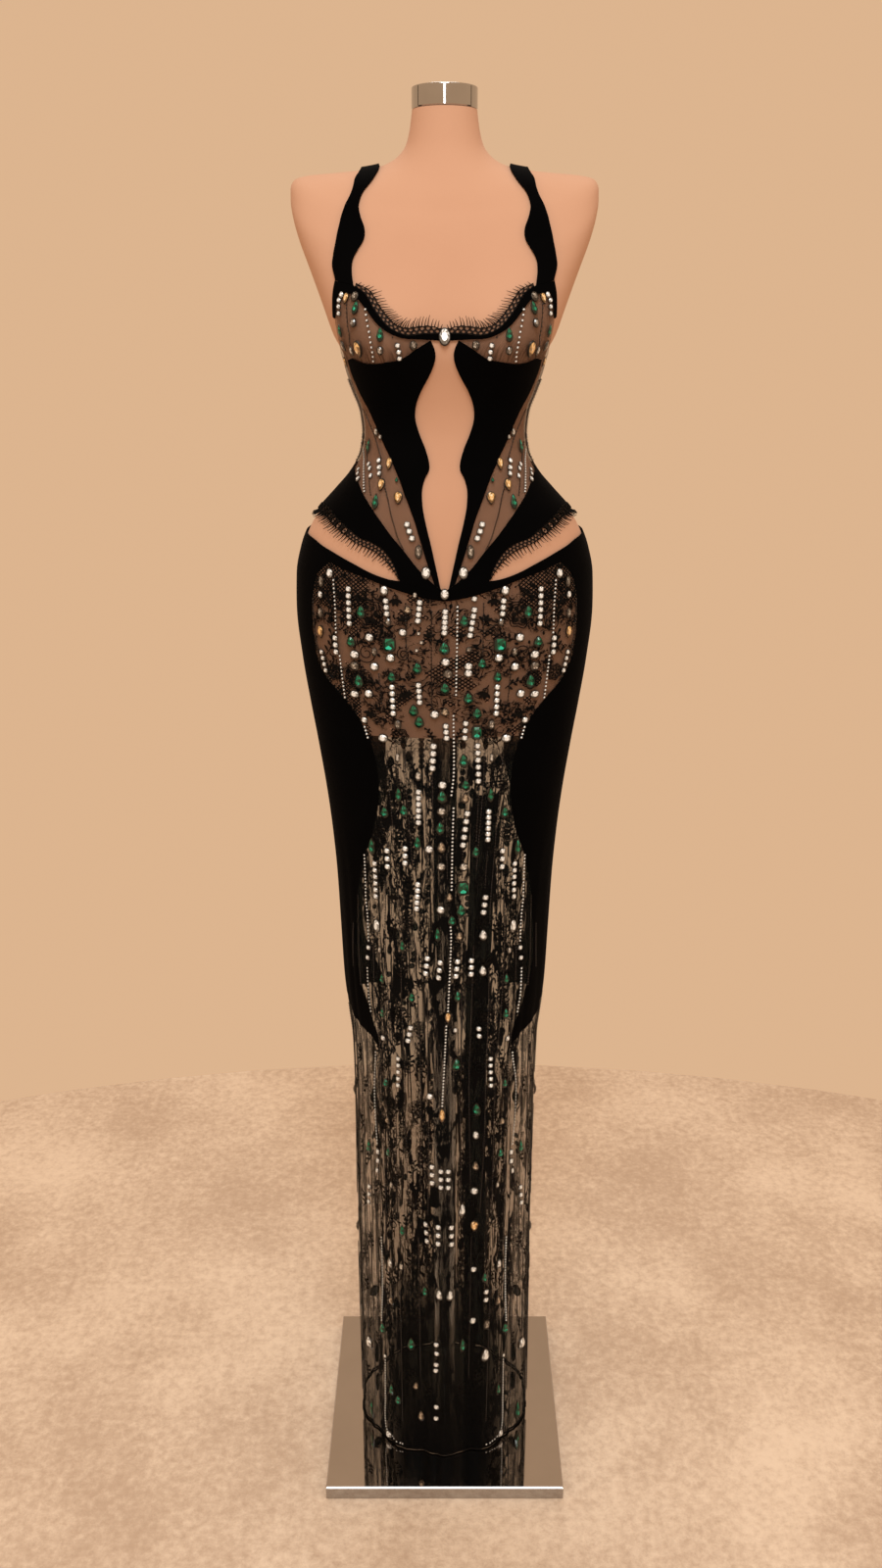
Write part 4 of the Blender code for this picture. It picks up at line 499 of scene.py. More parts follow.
def read_figure(level):
    """The figure's six columns at levels."""
    keys = FIGURE[:, 0]
    row = np.clip(np.searchsorted(keys, level, side="right") - 1, 0, len(keys) - 2)
    span = keys[row + 1] - keys[row]
    first, leave, last, arrive = hermite(np.clip((level - keys[row]) / span, 0, 1)[..., None])
    span = span[..., None]
    return np.moveaxis(
        first * FIGURE[row, 1:] + leave * span * FIGURE_SLOPES[row]
        + last * FIGURE[row + 1, 1:] + arrive * span * FIGURE_SLOPES[row + 1], -1, 0)


def fold_height(angle, level):
    """How far the hanging tube stands out at its folds and ripples, angle in radians."""
    height = np.zeros(np.broadcast(angle, level).shape)
    for fold_angle, top, half_width, rise in FOLDS:
        away = (np.degrees(angle) - fold_angle + 180.0) % 360.0 - 180.0
        height += rise * smooth_step((top - level) / FOLD_FADE) * np.exp(-(away / half_width) ** 2)
    for waves, phase, rise, top in RIPPLES:
        sway = RIPPLE_SWAY * np.sin(9 * level + phase)
        fade = smooth_step((top - level) / FOLD_FADE)
        height += rise * fade * np.sin(waves * angle + phase + sway)
    return height


def figure(angle, level, folds=True):
    """Points of the figure, from angles in radians and levels."""
    half, side_height, middle, front, back, square = read_figure(level)
    sine, cosine = np.sin(angle), np.cos(angle)
    out = fold_height(angle, level) if folds else 0.0
    x = (half + out) * ((1 + square) * sine + square * np.sin(3 * angle))
    depth = np.where(cosine > 0, front, back) + out
    y = middle - depth * ((1 + square) * cosine - square * np.cos(3 * angle))
    z = level + (side_height - level) * sine * sine
    across = sum(np.exp(-((x - side) / BUST_WIDE) ** 2) for side in (-BUST_X, BUST_X))
    along = level - BUST_LEVEL
    along = along / np.where(along > 0, BUST_RISE, BUST_DROP)
    lift = BUST_LIFT * across * np.exp(-along ** 2) * smooth_step(cosine * 3)
    y = y - lift
    x = x + np.sign(x) * BUST_SPREAD * lift * smooth_step(abs(x) / BUST_X)
    return np.stack(np.broadcast_arrays(x, y, z), -1)


def unit(vectors):
    """Vectors with their length made one metre."""
    return vectors / np.maximum(np.linalg.norm(vectors, axis=-1, keepdims=True), 1e-12)


def frame_at(angle, level):
    """Point, direction round the body, direction up and outward normal at spots, and the
    metres for one degree and for one metre of level."""
    angle, level = np.broadcast_arrays(np.radians(angle), np.asarray(level, float))
    step = SLOPE_STEP
    point = figure(angle, level)
    across = (figure(angle + step, level) - figure(angle - step, level)) / (2 * step)
    rise = (figure(angle, level + step) - figure(angle, level - step)) / (2 * step)
    normal = unit(np.cross(across, rise))
    per_degree = np.linalg.norm(across, axis=-1) * math.pi / 180
    per_level = np.linalg.norm(rise, axis=-1)
    right = across / (per_degree * 180 / math.pi)[..., None]
    return point, right, np.cross(normal, right), normal, per_degree, per_level


def on_figure(spots, out):
    """Points at spots, moved out from the figure."""
    point, _, _, normal, _, _ = frame_at(spots[:, 0], spots[:, 1])
    return point + normal * np.asarray(out)[..., None]


def moved(spots, right, up):
    """The spots that lie so many metres to the right and up along the figure."""
    *_, per_degree, per_level = frame_at(spots[:, 0], spots[:, 1])
    return np.stack((spots[:, 0] + right / per_degree, spots[:, 1] + up / per_level), 1)


def flat(spots):
    """Spots on an unrolled sheet, in metres."""
    return np.stack((np.radians(spots[:, 0]) * FLAT_RADIUS, spots[:, 1]), 1)


def travelled(spots):
    """Distance from the first spot to each spot on the unrolled sheet."""
    return np.concatenate(([0], np.cumsum(np.linalg.norm(np.diff(flat(spots), axis=0), axis=1))))


def curve(points, step=EDGE_STEP):
    """Spots on a smooth curve through the given ones, about one step apart."""
    points = np.asarray(points, float)
    lengths = np.linalg.norm(np.diff(flat(points), axis=0), axis=1)
    counts = [max(1, round(length / step)) for length in lengths]
    if len(points) == 2:
        return points[0] + (points[1] - points[0]) * np.linspace(0, 1, counts[0] + 1)[:, None]
    spots = []
    end = len(points) - 1
    for i, (length, count) in enumerate(zip(lengths, counts)):
        a, b = points[i], points[i + 1]
        before, after = points[max(0, i - 1)], points[min(end, i + 2)]
        previous = lengths[i - 1] if i > 0 else 0.0
        following = lengths[i + 1] if i + 1 < end else 0.0
        first, leave, last, arrive = hermite((np.arange(count) / count)[:, None])
        spots.append(first * a + leave * ((b - before) * length / (previous + length))
                     + last * b + arrive * ((after - a) * length / (following + length)))
    return np.vstack(spots + [points[-1:]])


def edge(name):
    """The spots along a named edge."""
    if name in ("velvet_back", "velvet_hem_back"):
        twin = edge("velvet_front" if name == "velvet_back" else "velvet_hem")
        behind = np.stack((180.0 - twin[:, 0], twin[:, 1]), 1)
        if name == "velvet_hem_back":
            return behind
        lower = behind[behind[:, 1] < VELVET_ALIKE - EDGE_STEP]
        return np.vstack((edge("velvet_back_top"), lower))
    return curve(EDGES[name])


def chain_of(*names):
    """Edges one after another; a name after a minus runs backwards."""
    runs = []
    for name in names:
        run = edge(name.lstrip("-"))
        runs.append(run[::-1] if name.startswith("-") else run)
    spots = np.vstack(runs)
    apart = np.linalg.norm(np.diff(flat(spots), axis=0), axis=1) > SAME_SPOT
    return spots[np.concatenate(([True], apart))]


def mirrored(spots, middle=0.0):
    """The same spots on the other side of the front centre or of another angle."""
    return np.stack((2 * middle - spots[::-1, 0], spots[::-1, 1]), 1)


def whole(half, middle=0.0):
    """An outline over the centre line, from the half that starts and ends on it."""
    return np.vstack((half, mirrored(half, middle)[1:]))


def area(loop):
    """Signed area of a flat loop, positive when it runs left-handed."""
    after = np.roll(loop, -1, 0)
    return float((loop[:, 0] * after[:, 1] - after[:, 0] * loop[:, 1]).sum() / 2)


def closed(spots):
    """The outline without a last spot that repeats the first one, turned left-handed."""
    if np.linalg.norm(flat(spots[:1]) - flat(spots[-1:])) < SAME_SPOT:
        spots = spots[:-1]
    return spots if area(flat(spots)) > 0 else spots[::-1]


def inset(spots, gap):
    """The outline drawn in by a gap, measured on the figure."""
    *_, per_degree, per_level = frame_at(spots[:, 0], spots[:, 1])
    scale = np.stack((per_degree, per_level), 1)
    total = np.zeros_like(spots)
    for run in ((spots - np.roll(spots, 1, 0)) * scale, (np.roll(spots, -1, 0) - spots) * scale):
        run = unit(run)
        total += np.stack((-run[:, 1], run[:, 0]), 1)
    reach = gap * 2 / np.maximum(0.5, (total ** 2).sum(1))
    return spots + total * reach[:, None] / scale


def inside(points, loop):
    """Whether flat points lie inside a loop."""
    odd = np.zeros(len(points), bool)
    before = np.roll(loop, 1, 0)
    for (ax, ay), (bx, by) in zip(loop, before):
        crosses = (ay > points[:, 1]) != (by > points[:, 1])
        if crosses.any():
            odd[crosses] ^= (points[crosses, 0]
                             < (bx - ax) * (points[crosses, 1] - ay) / (by - ay) + ax)
    return odd


def tree_of(sheet):
    """A search tree over flat points."""
    tree = KDTree(len(sheet))
    for i, (x, y) in enumerate(sheet):
        tree.insert((x, y, 0), i)
    tree.balance()
    return tree


def lattice(loop, step_angle, step_level):
    """Flat points inside an outline, in rows and columns, except those close to its edges."""
    low, high = loop.min(0), loop.max(0)
    step = math.radians(step_angle) * FLAT_RADIUS
    columns = np.arange(math.floor(low[0] / step), math.ceil(high[0] / step) + 1)
    rows = np.arange(math.floor(low[1] / step_level), math.ceil(high[1] / step_level) + 1)
    grid_x, grid_y = np.meshgrid(columns * step, rows * step_level)
    points = np.stack((grid_x.ravel(), grid_y.ravel()), 1)
    points = points[inside(points, loop)]
    tree = tree_of(loop)
    return points[[tree.find((x, y, 0))[2] > EDGE_FREE for x, y in points]]


def triangulated(loop, step_angle, step_level):
    """Spots and triangles over an outline; the outline's own spots come first."""
    sheet = np.vstack((loop, lattice(loop, step_angle, step_level)))
    rim = list(range(len(loop)))
    result = delaunay_2d_cdt([Vector(p) for p in sheet], [], [rim], 1, 1e-8)
    made = np.array([tuple(p) for p in result[0]])
    faces = np.array([face for face in result[2]])
    a, b, c = (made[faces[:, k]] for k in range(3))
    turned = np.cross(b - a, c - a) < 0
    faces[turned] = faces[turned][:, ::-1]
    order = np.array([found[0] for found in result[3]])
    return np.degrees(sheet[:, 0] / FLAT_RADIUS), sheet[:, 1], order[faces]


def add_mesh(name, points, faces, finish, sheet=None, painted_shines=None, sharp=None):
    """One mesh as an object: smooth with sharp edges above an angle, or flat if it is 0."""
    points = np.asarray(points, np.float32)
    faces = np.asarray(faces, np.int32)
    mesh = bpy.data.meshes.new(name)
    mesh.vertices.add(len(points))
    mesh.vertices.foreach_set("co", points.ravel())
    mesh.loops.add(faces.size)
    mesh.loops.foreach_set("vertex_index", faces.ravel())
    mesh.polygons.add(len(faces))
    mesh.polygons.foreach_set("loop_start", np.arange(len(faces), dtype=np.int32) * faces.shape[1])
    mesh.update(calc_edges=True)
    if sheet is not None:
        layer = mesh.uv_layers.new(name="Flat")
        layer.data.foreach_set("uv", sheet[faces.ravel()].astype(np.float32).ravel())
    # Painted shine of each face, which the glass's material turns into painted reflections
    if painted_shines is not None:
        layer = mesh.attributes.new("painted_shine", "FLOAT", "FACE")
        layer.data.foreach_set("value", np.asarray(painted_shines, np.float32))
    if sharp == 0:
        mesh.shade_flat()
    else:
        mesh.shade_smooth()
        if sharp:
            mesh.set_sharp_from_angle(angle=math.radians(sharp))
    mesh.materials.append(finish)
    made = bpy.data.objects.new(name, mesh)
    bpy.context.scene.collection.objects.link(made)
    return made


def shell(name, outline, layer, grid, finish):
    """A thin closed wall of cloth over the figure inside an outline."""
    clear, thick = layer
    rim = inset(closed(outline), SEAM_GAP / 2)
    angles, levels, faces = triangulated(flat(rim), *grid)
    spots = np.stack((angles, levels), 1)
    points = np.vstack((on_figure(spots, clear + thick), on_figure(spots, clear)))
    base, count = len(spots), len(rim)
    ring = np.arange(count)
    after = (ring + 1) % count
    sides = np.vstack((np.stack((after, ring, base + ring), 1),
                       np.stack((after, base + ring, base + after), 1)))
    faces = np.vstack((faces, base + faces[:, ::-1], sides))
    return add_mesh(name, points, faces, finish, np.vstack((flat(spots),) * 2), sharp=CLOTH_SHARP)


def grid_wall(name, spots, layer, rise, sheet, finish):
    """A thin closed wall of cloth over rows and columns of spots, with a rise at each spot."""
    clear, thick = layer
    top = on_figure(spots.reshape(-1, 2), (clear + thick + rise).ravel())
    low = on_figure(spots.reshape(-1, 2), (clear + rise).ravel())
    points = np.vstack((top, low))
    count = len(top)
    index = np.arange(count).reshape(spots.shape[:2])
    ring = np.concatenate((index[0, :-1], index[:-1, -1], index[-1, :0:-1], index[:0:-1, 0]))
    face = quads(index, False)
    faces = np.vstack((face[:, ::-1], face + count, quads(np.stack((ring, ring + count)), True)))
    a, b, c = points[faces[0]]
    if np.cross(b - a, c - a) @ (a - points[faces[0, 0] + count]) < 0:
        faces = faces[:, ::-1]
    return add_mesh(name, points, faces, finish, np.vstack((sheet.reshape(-1, 2),) * 2),
                    sharp=CLOTH_SHARP)


# Rings of the hip trim, counted back from its outer end: how many, spacing, height over the
# seam, radii of the ring, of its hole and of the dot in it, and where they start on the band
RING_COUNT = 12
RING_PITCH = 0.0125
RING_LEVEL = 0.0043
RING_RADIUS = 0.0037
RING_HOLE = 0.0030
RING_DOT = 0.0011
RINGS_FROM = -RING_PITCH * (RING_COUNT - 0.5)
# Half of the length over which small holes give way to rings
RING_BLEND = 0.002
# Small round holes of the trims: spacing and radius
HOLE_PITCH = 0.0043
HOLE_RADIUS = 0.0012


class Nodes:
    """Short calls for a material's nodes."""

    def __init__(self, name):
        self.material = bpy.data.materials.new(name)
        self.material.use_nodes = True
        self.tree = self.material.node_tree
        self.shader = self.tree.nodes["Principled BSDF"]

    def socket(self, target, value):
        """Links an output to an input, or sets the input to a value."""
        if isinstance(value, bpy.types.NodeSocket):
            self.tree.links.new(value, target)
        elif value is not None:
            target.default_value = value

    def node(self, kind, inputs=(), output=0, **settings):
        """One output of a new node, with its settings and its inputs in order or by name."""
        made = self.tree.nodes.new("ShaderNode" + kind)
        for name, value in settings.items():
            setattr(made, name, value)
        for place, value in inputs.items() if isinstance(inputs, dict) else enumerate(inputs):
            self.socket(made.inputs[place], value)
        return made.outputs[output]

    def math(self, operation, a, b=None):
        """The result of a math node."""
        return self.node("Math", (a, b), operation=operation)

    def flat(self):
        """Distance round the body and level, in metres on the unrolled sheet."""
        split = self.node("SeparateXYZ", (self.node("UVMap", uv_map="Flat"),)).node
        return split.outputs[0], split.outputs[1]

    def place(self):
        """Coordinates of the object, in metres."""
        return self.node("TexCoord", output="Object")

    def noise(self, vector, scale, detail=2.0, rough=0.5, warp=0.0):
        """Soft clouds from 0 to 1."""
        return self.node("TexNoise", {"Vector": vector, "Scale": scale, "Detail": detail,
                                      "Roughness": rough, "Distortion": warp}, "Fac")

    def ramp(self, value, low, high, to_low=0.0, to_high=1.0):
        """Passes smoothly from one number to another while the value passes from low to high."""
        return self.node("MapRange", (value, low, high, to_low, to_high),
                         interpolation_type="SMOOTHSTEP")

    def colours(self, value, under, over):
        """One colour where the value is 0, the other one where it is 1."""
        under, over = ((*one, 1.0) if isinstance(one, tuple) else one for one in (under, over))
        return self.node("Mix", {0: value, 6: under, 7: over}, 2, data_type="RGBA")

    def mix_values(self, value, under, over):
        """One value where the share is 0, the other one where it is 1."""
        rest = self.math("MULTIPLY", under, self.math("SUBTRACT", 1.0, value))
        return self.math("ADD", rest, self.math("MULTIPLY", over, value))

    def all_of(self, *values):
        """The product of values."""
        return reduce(lambda a, b: self.math("MULTIPLY", a, b), values)

    def any_of(self, *values):
        """The largest of values."""
        return reduce(lambda a, b: self.math("MAXIMUM", a, b), values)

    def bump(self, height, strength, distance):
        """Makes a height stand out from the surface."""
        normal = self.node("Bump", {"Strength": strength, "Distance": distance, "Height": height})
        self.tree.links.new(normal, self.shader.inputs["Normal"])

    def set(self, **values):
        """Sets the shader's inputs by name and gives the finished material."""
        for name, value in values.items():
            self.socket(self.shader.inputs[name.replace("_", " ")], value)
        return self.material

    def cloud(self, u, v, wide, tall, detail=2.0, rough=0.5, warp=0.0):
        """Noise on the unrolled sheet, with its scales across and along."""
        place = self.node("CombineXYZ", (self.math("MULTIPLY", u, wide),
                                         self.math("MULTIPLY", v, tall)))
        return self.noise(place, 1.0, detail, rough, warp)

    def lines(self, value, half):
        """1 where a value passes its middle, within a half width."""
        away = self.math("ABSOLUTE", self.math("SUBTRACT", value, 0.5))
        return self.ramp(away, half * 0.7, half * 1.3, 1.0, 0.0)

    def net(self, u, v, pitch, thread):
        """1 on the threads of a diamond net, 0 in its gaps."""
        lines = []
        for way in ("ADD", "SUBTRACT"):
            across = self.math("DIVIDE", self.math(way, u, v), pitch)
            away = self.math("PINGPONG", across, 0.5)
            lines.append(self.ramp(away, thread * 0.7, thread * 1.3, 1.0, 0.0))
        return self.math("MAXIMUM", *lines)


# Plain finishes: noise scale, detail and roughness of their tone, two colours, the fine
# relief as scale, detail, strength and distance, and the shader's values. A pair for the
# roughness runs with the tone.
FINISHES = {
    "velvet": ((14.0, 3.0, 0.6), (0.0004, 0.0004, 0.0005), (0.0016, 0.0015, 0.0017),
               (900.0, 3.0, 0.5, 0.0006),
               {"Roughness": 0.95, "Specular_IOR_Level": 0.03, "Sheen_Weight": 0.012,
                "Sheen_Roughness": 0.35, "Sheen_Tint": (0.6, 0.6, 0.65, 1.0)}),
    "jersey": ((6.0, 4.0, 0.6), (0.535, 0.308, 0.204), (0.590, 0.352, 0.238),
               (1500.0, 2.0, 0.25, 0.0005),
               {"Roughness": 0.88, "Specular_IOR_Level": 0.2, "Sheen_Weight": 0.08,
                "Sheen_Roughness": 0.5, "Sheen_Tint": (1.0, 0.88, 0.78, 1.0)}),
    "chrome": ((40.0, 3.0), (0.42, 0.42, 0.42), (0.50, 0.50, 0.50), None,
               {"Metallic": 1.0, "Roughness": (0.05, 0.12)}),
    "mirror steel": ((18.0, 4.0, 0.6), (0.41, 0.40, 0.40), (0.47, 0.46, 0.46), None,
                     {"Metallic": 1.0, "Roughness": (0.02, 0.07)}),
    "lace": ((55.0, 3.0), (0.0022, 0.0020, 0.0018), (0.0068, 0.0056, 0.0048),
             (1200.0, 2.0, 0.5, 0.0003), {"Roughness": 0.6, "Specular_IOR_Level": 0.06}),
    "settings": ((300.0, 2.0), (0.012, 0.009, 0.007), (0.05, 0.038, 0.028), None,
                 {"Metallic": 0.6, "Roughness": 0.4}),
    "black beads": ((400.0, 2.0), (0.006, 0.004, 0.0035), (0.018, 0.011, 0.009), None,
                    {"Roughness": 0.22, "Specular_IOR_Level": 0.5}),
}


def plain_finish(name):
    """A finish of two tones in soft clouds, with or without a fine relief."""
    cloud, under, over, relief, values = FINISHES[name]
    made = Nodes(name)
    place = made.place()
    tone = made.noise(place, *cloud)
    if relief:
        scale, detail, strength, distance = relief
        made.bump(made.noise(place, scale, detail), strength, distance)
    rough = values["Roughness"]
    if isinstance(rough, tuple):
        values = {**values, "Roughness": made.ramp(tone, 0.3, 0.7, *rough)}
    return made.set(Base_Color=made.colours(tone, under, over), **values)


def sheer_mesh(name, gathered):
    """Fine brown mesh over the nude form, with short pleats over the cups' seams if gathered."""
    made = Nodes(name)
    u, v = made.flat()
    fine = made.net(u, v, 0.0014, 0.11)
    tone = made.cloud(u, v, 60.0, 18.0, 3.0)
    haze = made.ramp(tone, 0.3, 0.7, 0.05, 0.10)
    height = fine
    if gathered:
        pleat = made.all_of(made.ramp(made.cloud(u, v, 420.0, 40.0), 0.44, 0.62),
                            made.ramp(v, *PLEATS, 1.0, 0.0))
        haze = made.math("ADD", haze, made.math("MULTIPLY", pleat, 0.26))
        height = made.math("ADD", fine, made.math("MULTIPLY", pleat, 2.0))
    made.bump(height, 0.4, 0.0003)
    return made.set(
        Base_Color=made.colours(tone, (0.040, 0.019, 0.011), (0.068, 0.036, 0.022)),
        Alpha=made.any_of(haze, made.math("MULTIPLY", fine, 0.62)),
        Roughness=0.75, Specular_IOR_Level=0.15)


def lace_mesh(name, centre, thin):
    """Mesh of the skirt: net and vines over the hips, upright bark-like lace below."""
    made = Nodes(name)
    u, v = made.flat()
    beside = made.math("ABSOLUTE", made.math("SUBTRACT", u, centre))
    low = made.ramp(v, *BARK_FROM, 1.0, 0.0)
    hip = made.math("SUBTRACT", 1.0, low)

    def cloud(*scales):
        """Noise on the sheet of this mesh."""
        return made.cloud(u, v, *scales)

    # Net patches over the hips, whole in the upper outer corners
    corner = made.all_of(made.ramp(beside, 0.050, 0.060), made.ramp(v, 1.195, 1.212))
    patch = made.any_of(made.ramp(cloud(34.0, 34.0, 2.0, 0.5, 0.6), 0.57, 0.60), corner)
    net = made.all_of(patch, made.net(u, v, 0.0043, 0.19), hip)

    # Vines over the hips, few at the centre, with darker leaves beside them
    outer = made.ramp(beside, 0.015, 0.060, 0.45, 1.0)
    open_ground = made.math("SUBTRACT", 1.0, patch)
    grown = made.ramp(cloud(26.0, 22.0), 0.38, 0.50)
    vines = made.all_of(made.lines(cloud(95.0, 80.0, 2.0, 0.5, 1.4), 0.030), grown, open_ground)
    leaves = made.all_of(made.ramp(cloud(210.0, 150.0, 3.0, 0.6, 0.5), 0.53, 0.57), grown, outer)
    flower = made.all_of(made.any_of(vines, made.math("MULTIPLY", leaves, 0.85)), hip)

    # Bark below: wiggling veins, blots and upright strands, thicker in some places and
    # lighter at the outer sides
    bunch = made.ramp(cloud(58.0, 7.0), 0.44 + thin, 0.56 + thin, 0.12, 1.0)
    veins = made.any_of(made.lines(cloud(130.0, 40.0, 3.0, 0.6, 0.9), 0.046),
                        made.lines(cloud(270.0, 95.0, 2.0, 0.5, 0.6), 0.045))
    blots = made.ramp(cloud(85.0, 30.0, 3.0, 0.6, 0.5), 0.51 + thin, 0.53 + thin)
    strands = made.ramp(cloud(280.0, 10.0, 3.0, 0.6), 0.54 + thin, 0.57 + thin)
    dense = made.ramp(cloud(46.0, 9.0), 0.46 + thin, 0.52 + thin)
    bark = made.any_of(made.all_of(veins, bunch), made.all_of(blots, dense),
                       made.math("MULTIPLY", strands, 0.85))
    side = made.all_of(made.ramp(beside, 0.098, 0.112), made.ramp(v, 0.90, 0.96, 1.0, 0.0))
    bark = made.all_of(bark, low, made.ramp(side, 0.0, 1.0, 1.0, 0.55))

    # Cover: dark hem, haze of the ground, its fine threads and the lace
    hem = made.all_of(made.ramp(v, 0.03, 0.30, 0.88, 0.0),
                      made.ramp(beside, 0.055, 0.11, 1.0, 0.25))
    haze = made.mix_values(low, made.ramp(patch, 0.0, 1.0, 0.24, 0.07),
                           made.ramp(side, 0.0, 1.0, 0.22, 0.12))
    thread = made.mix_values(low, made.ramp(patch, 0.0, 1.0, 0.42, 0.10), 0.22)
    fine = made.math("MULTIPLY", made.net(u, v, 0.0015, 0.12), thread)
    lace = made.math("MULTIPLY", made.any_of(flower, bark, net), 0.97)
    made.bump(lace, 0.5, 0.0005)
    tone = cloud(30.0, 30.0, 3.0)
    ground = made.colours(low, made.colours(tone, (0.036, 0.019, 0.012), (0.066, 0.043, 0.028)),
                          made.colours(tone, (0.013, 0.014, 0.012), (0.032, 0.034, 0.029)))
    dark = made.ramp(made.any_of(lace, hem), 0.0, 0.80)
    return made.set(
        Base_Color=made.colours(dark, ground, (0.0028, 0.0029, 0.0031)),
        Alpha=made.math("MINIMUM", made.any_of(haze, fine, lace, hem), 0.98), Roughness=0.65,
        Specular_IOR_Level=0.04)


def band_lace(name, ringed):
    """Band of a trim: close net with two rows of round holes, and large ones in the rings."""
    made = Nodes(name)
    u, v = made.flat()
    tone = made.noise(made.place(), 90.0, 3.0)

    def row(level, start, pitch, radius):
        """1 within round spots of a row."""
        across = made.math("PINGPONG", made.math("SUBTRACT", u, start), pitch / 2)
        rise = made.math("SUBTRACT", v, level)
        away = made.math("SQRT", made.math("ADD", made.math("MULTIPLY", across, across),
                                           made.math("MULTIPLY", rise, rise)))
        return made.ramp(away, radius * 0.85, radius * 1.15, 1.0, 0.0)

    hole = made.any_of(*(row(level, start, HOLE_PITCH, HOLE_RADIUS)
                         for level, start in ((0.0021, 0.0), (0.0053, HOLE_PITCH / 2))))
    if ringed:
        beyond = made.ramp(u, RINGS_FROM - RING_BLEND, RINGS_FROM + RING_BLEND)
        dot = row(RING_LEVEL, 0.0, RING_PITCH, RING_DOT)
        ring = made.math("SUBTRACT", row(RING_LEVEL, 0.0, RING_PITCH, RING_HOLE), dot)
        hole = made.mix_values(beyond, hole, ring)
    net = made.net(u, v, 0.0013, 0.14)
    cover = made.math("MAXIMUM", 0.86 if ringed else 0.66, made.math("MULTIPLY", net, 0.95))
    cover = made.math("MULTIPLY", cover, made.ramp(hole, 0.0, 1.0, 1.0, 0.05))
    made.bump(cover, 0.5, 0.0004)
    return made.set(
        Base_Color=made.colours(tone, (0.003, 0.002, 0.0016), (0.010, 0.006, 0.005)),
        Alpha=cover, Roughness=0.65, Specular_IOR_Level=0.15)


# Glass with painted reflections: colour of cut faces painted dark, of those painted bright, and
# painted glints
STONE_TINTS_AND_PAINTED_SHINE = {
    "clear": ((0.17, 0.17, 0.16), (0.90, 0.95, 0.97), (0.96, 0.99, 1.0)),
    "emerald": ((0.0012, 0.018, 0.010), (0.006, 0.165, 0.080), (0.03, 0.66, 0.46)),
    "gold": ((0.16, 0.08, 0.025), (0.80, 0.50, 0.20), (1.0, 0.90, 0.66)),
    "smoke": ((0.010, 0.008, 0.007), (0.13, 0.11, 0.09), (0.62, 0.57, 0.50)),
    "silver": ((0.03, 0.028, 0.025), (0.50, 0.47, 0.42), (0.98, 0.96, 0.92)),
    "tan": ((0.04, 0.027, 0.018), (0.32, 0.24, 0.16), (0.75, 0.64, 0.50)),
}


def cut_glass(name):
    """Foiled glass with painted reflections: each cut face is painted darker or brighter by its
    painted shine.
    """
    made = Nodes("glass " + name)
    painted_shine = made.node("Attribute", output="Fac", attribute_name="painted_shine")
    # Random noise adds painted glints to the painted shine of the cut faces
    painted_sparkle = made.noise(made.place(), 520.0, 1.0)
    uneven = 0.12 if name == "emerald" else 0.35
    value = made.math("ADD", painted_shine,
                      made.math("MULTIPLY", made.math("SUBTRACT", painted_sparkle, 0.5), uneven))
    # Painted reflections: the painted shine picks a dark, a bright or a glinting colour
    dark, bright, painted_glint = STONE_TINTS_AND_PAINTED_SHINE[name]
    lower = made.colours(made.ramp(value, 0.15, 0.75), dark, bright)
    colour = made.colours(made.ramp(value, 0.80, 0.98), lower, painted_glint)
    shine = (0.35, 0.25) if name == "emerald" else (0.7, 0.6)
    return made.set(Base_Color=colour, Roughness=0.12, Specular_IOR_Level=shine[0],
                    Coat_Weight=shine[1], Coat_Roughness=0.03)


def floor_stone():
    """Pale stone, mottled in large and in small clouds."""
    made = Nodes("floor")
    place = made.place()
    cloud = made.noise(place, 3.0, 5.0, 0.65)
    pile = made.noise(place, 75.0, 4.0, 0.7)
    both_tones = made.math("ADD", made.math("MULTIPLY", cloud, 0.55),
                           made.math("MULTIPLY", pile, 0.45))
    made.bump(pile, 0.5, 0.004)
    return made.set(Base_Color=made.colours(made.ramp(both_tones, 0.36, 0.66),
                                            (0.56, 0.44, 0.34), (0.85, 0.73, 0.60)),
                    Roughness=0.85)


def seat(piece, node):
    """The piece rides on the body and stands for the node, whose solid is hidden."""
    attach(piece, "root")
    if node:
        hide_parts(node)
    return piece


def stacked(name, rings, ends, finish, sharp):
    """A solid from rings of points, closed towards a middle point at either end."""
    rows, sides = rings.shape[:2]
    index = np.arange(rows * sides).reshape(rows, sides)
    after = np.roll(index, -1, 1)
    low, high = np.full(sides, rows * sides), np.full(sides, rows * sides + 1)
    faces = np.vstack((quads(index, True), np.stack((low, after[0], index[0]), 1),
                       np.stack((index[-1], after[-1], high), 1)))
    return add_mesh(name, np.vstack((rings.reshape(-1, 3), ends)), faces, finish, sharp=sharp)


def turned(name, profile, sides, finish, y=0.0):
    """A round solid from a profile of radius and height, bottom to top."""
    turns = np.arange(sides) * 2 * math.pi / sides
    ring = np.stack((np.cos(turns), np.sin(turns)), 1)
    rings = [np.column_stack((ring * radius + (0, y), np.full(sides, height)))
             for radius, height in profile]
    ends = [[0.0, y, profile[0][1]], [0.0, y, profile[-1][1]]]
    return stacked(name, np.array(rings), ends, finish, TURNED_SHARP)


# Seams of the neck cap: degrees from the front, and half width
CAP_SEAMS = (-52.0, 52.0, -128.0, 128.0)
CAP_SEAM = 0.0004
# Triangles of a box whose corners go inner and outer, left and right, low and high
BOX_FACES = ((0, 1, 3), (0, 3, 2), (4, 7, 5), (4, 6, 7), (0, 5, 1), (0, 4, 5), (2, 3, 7), (2, 7, 6),
             (0, 2, 6), (0, 6, 4), (1, 5, 7), (1, 7, 3))


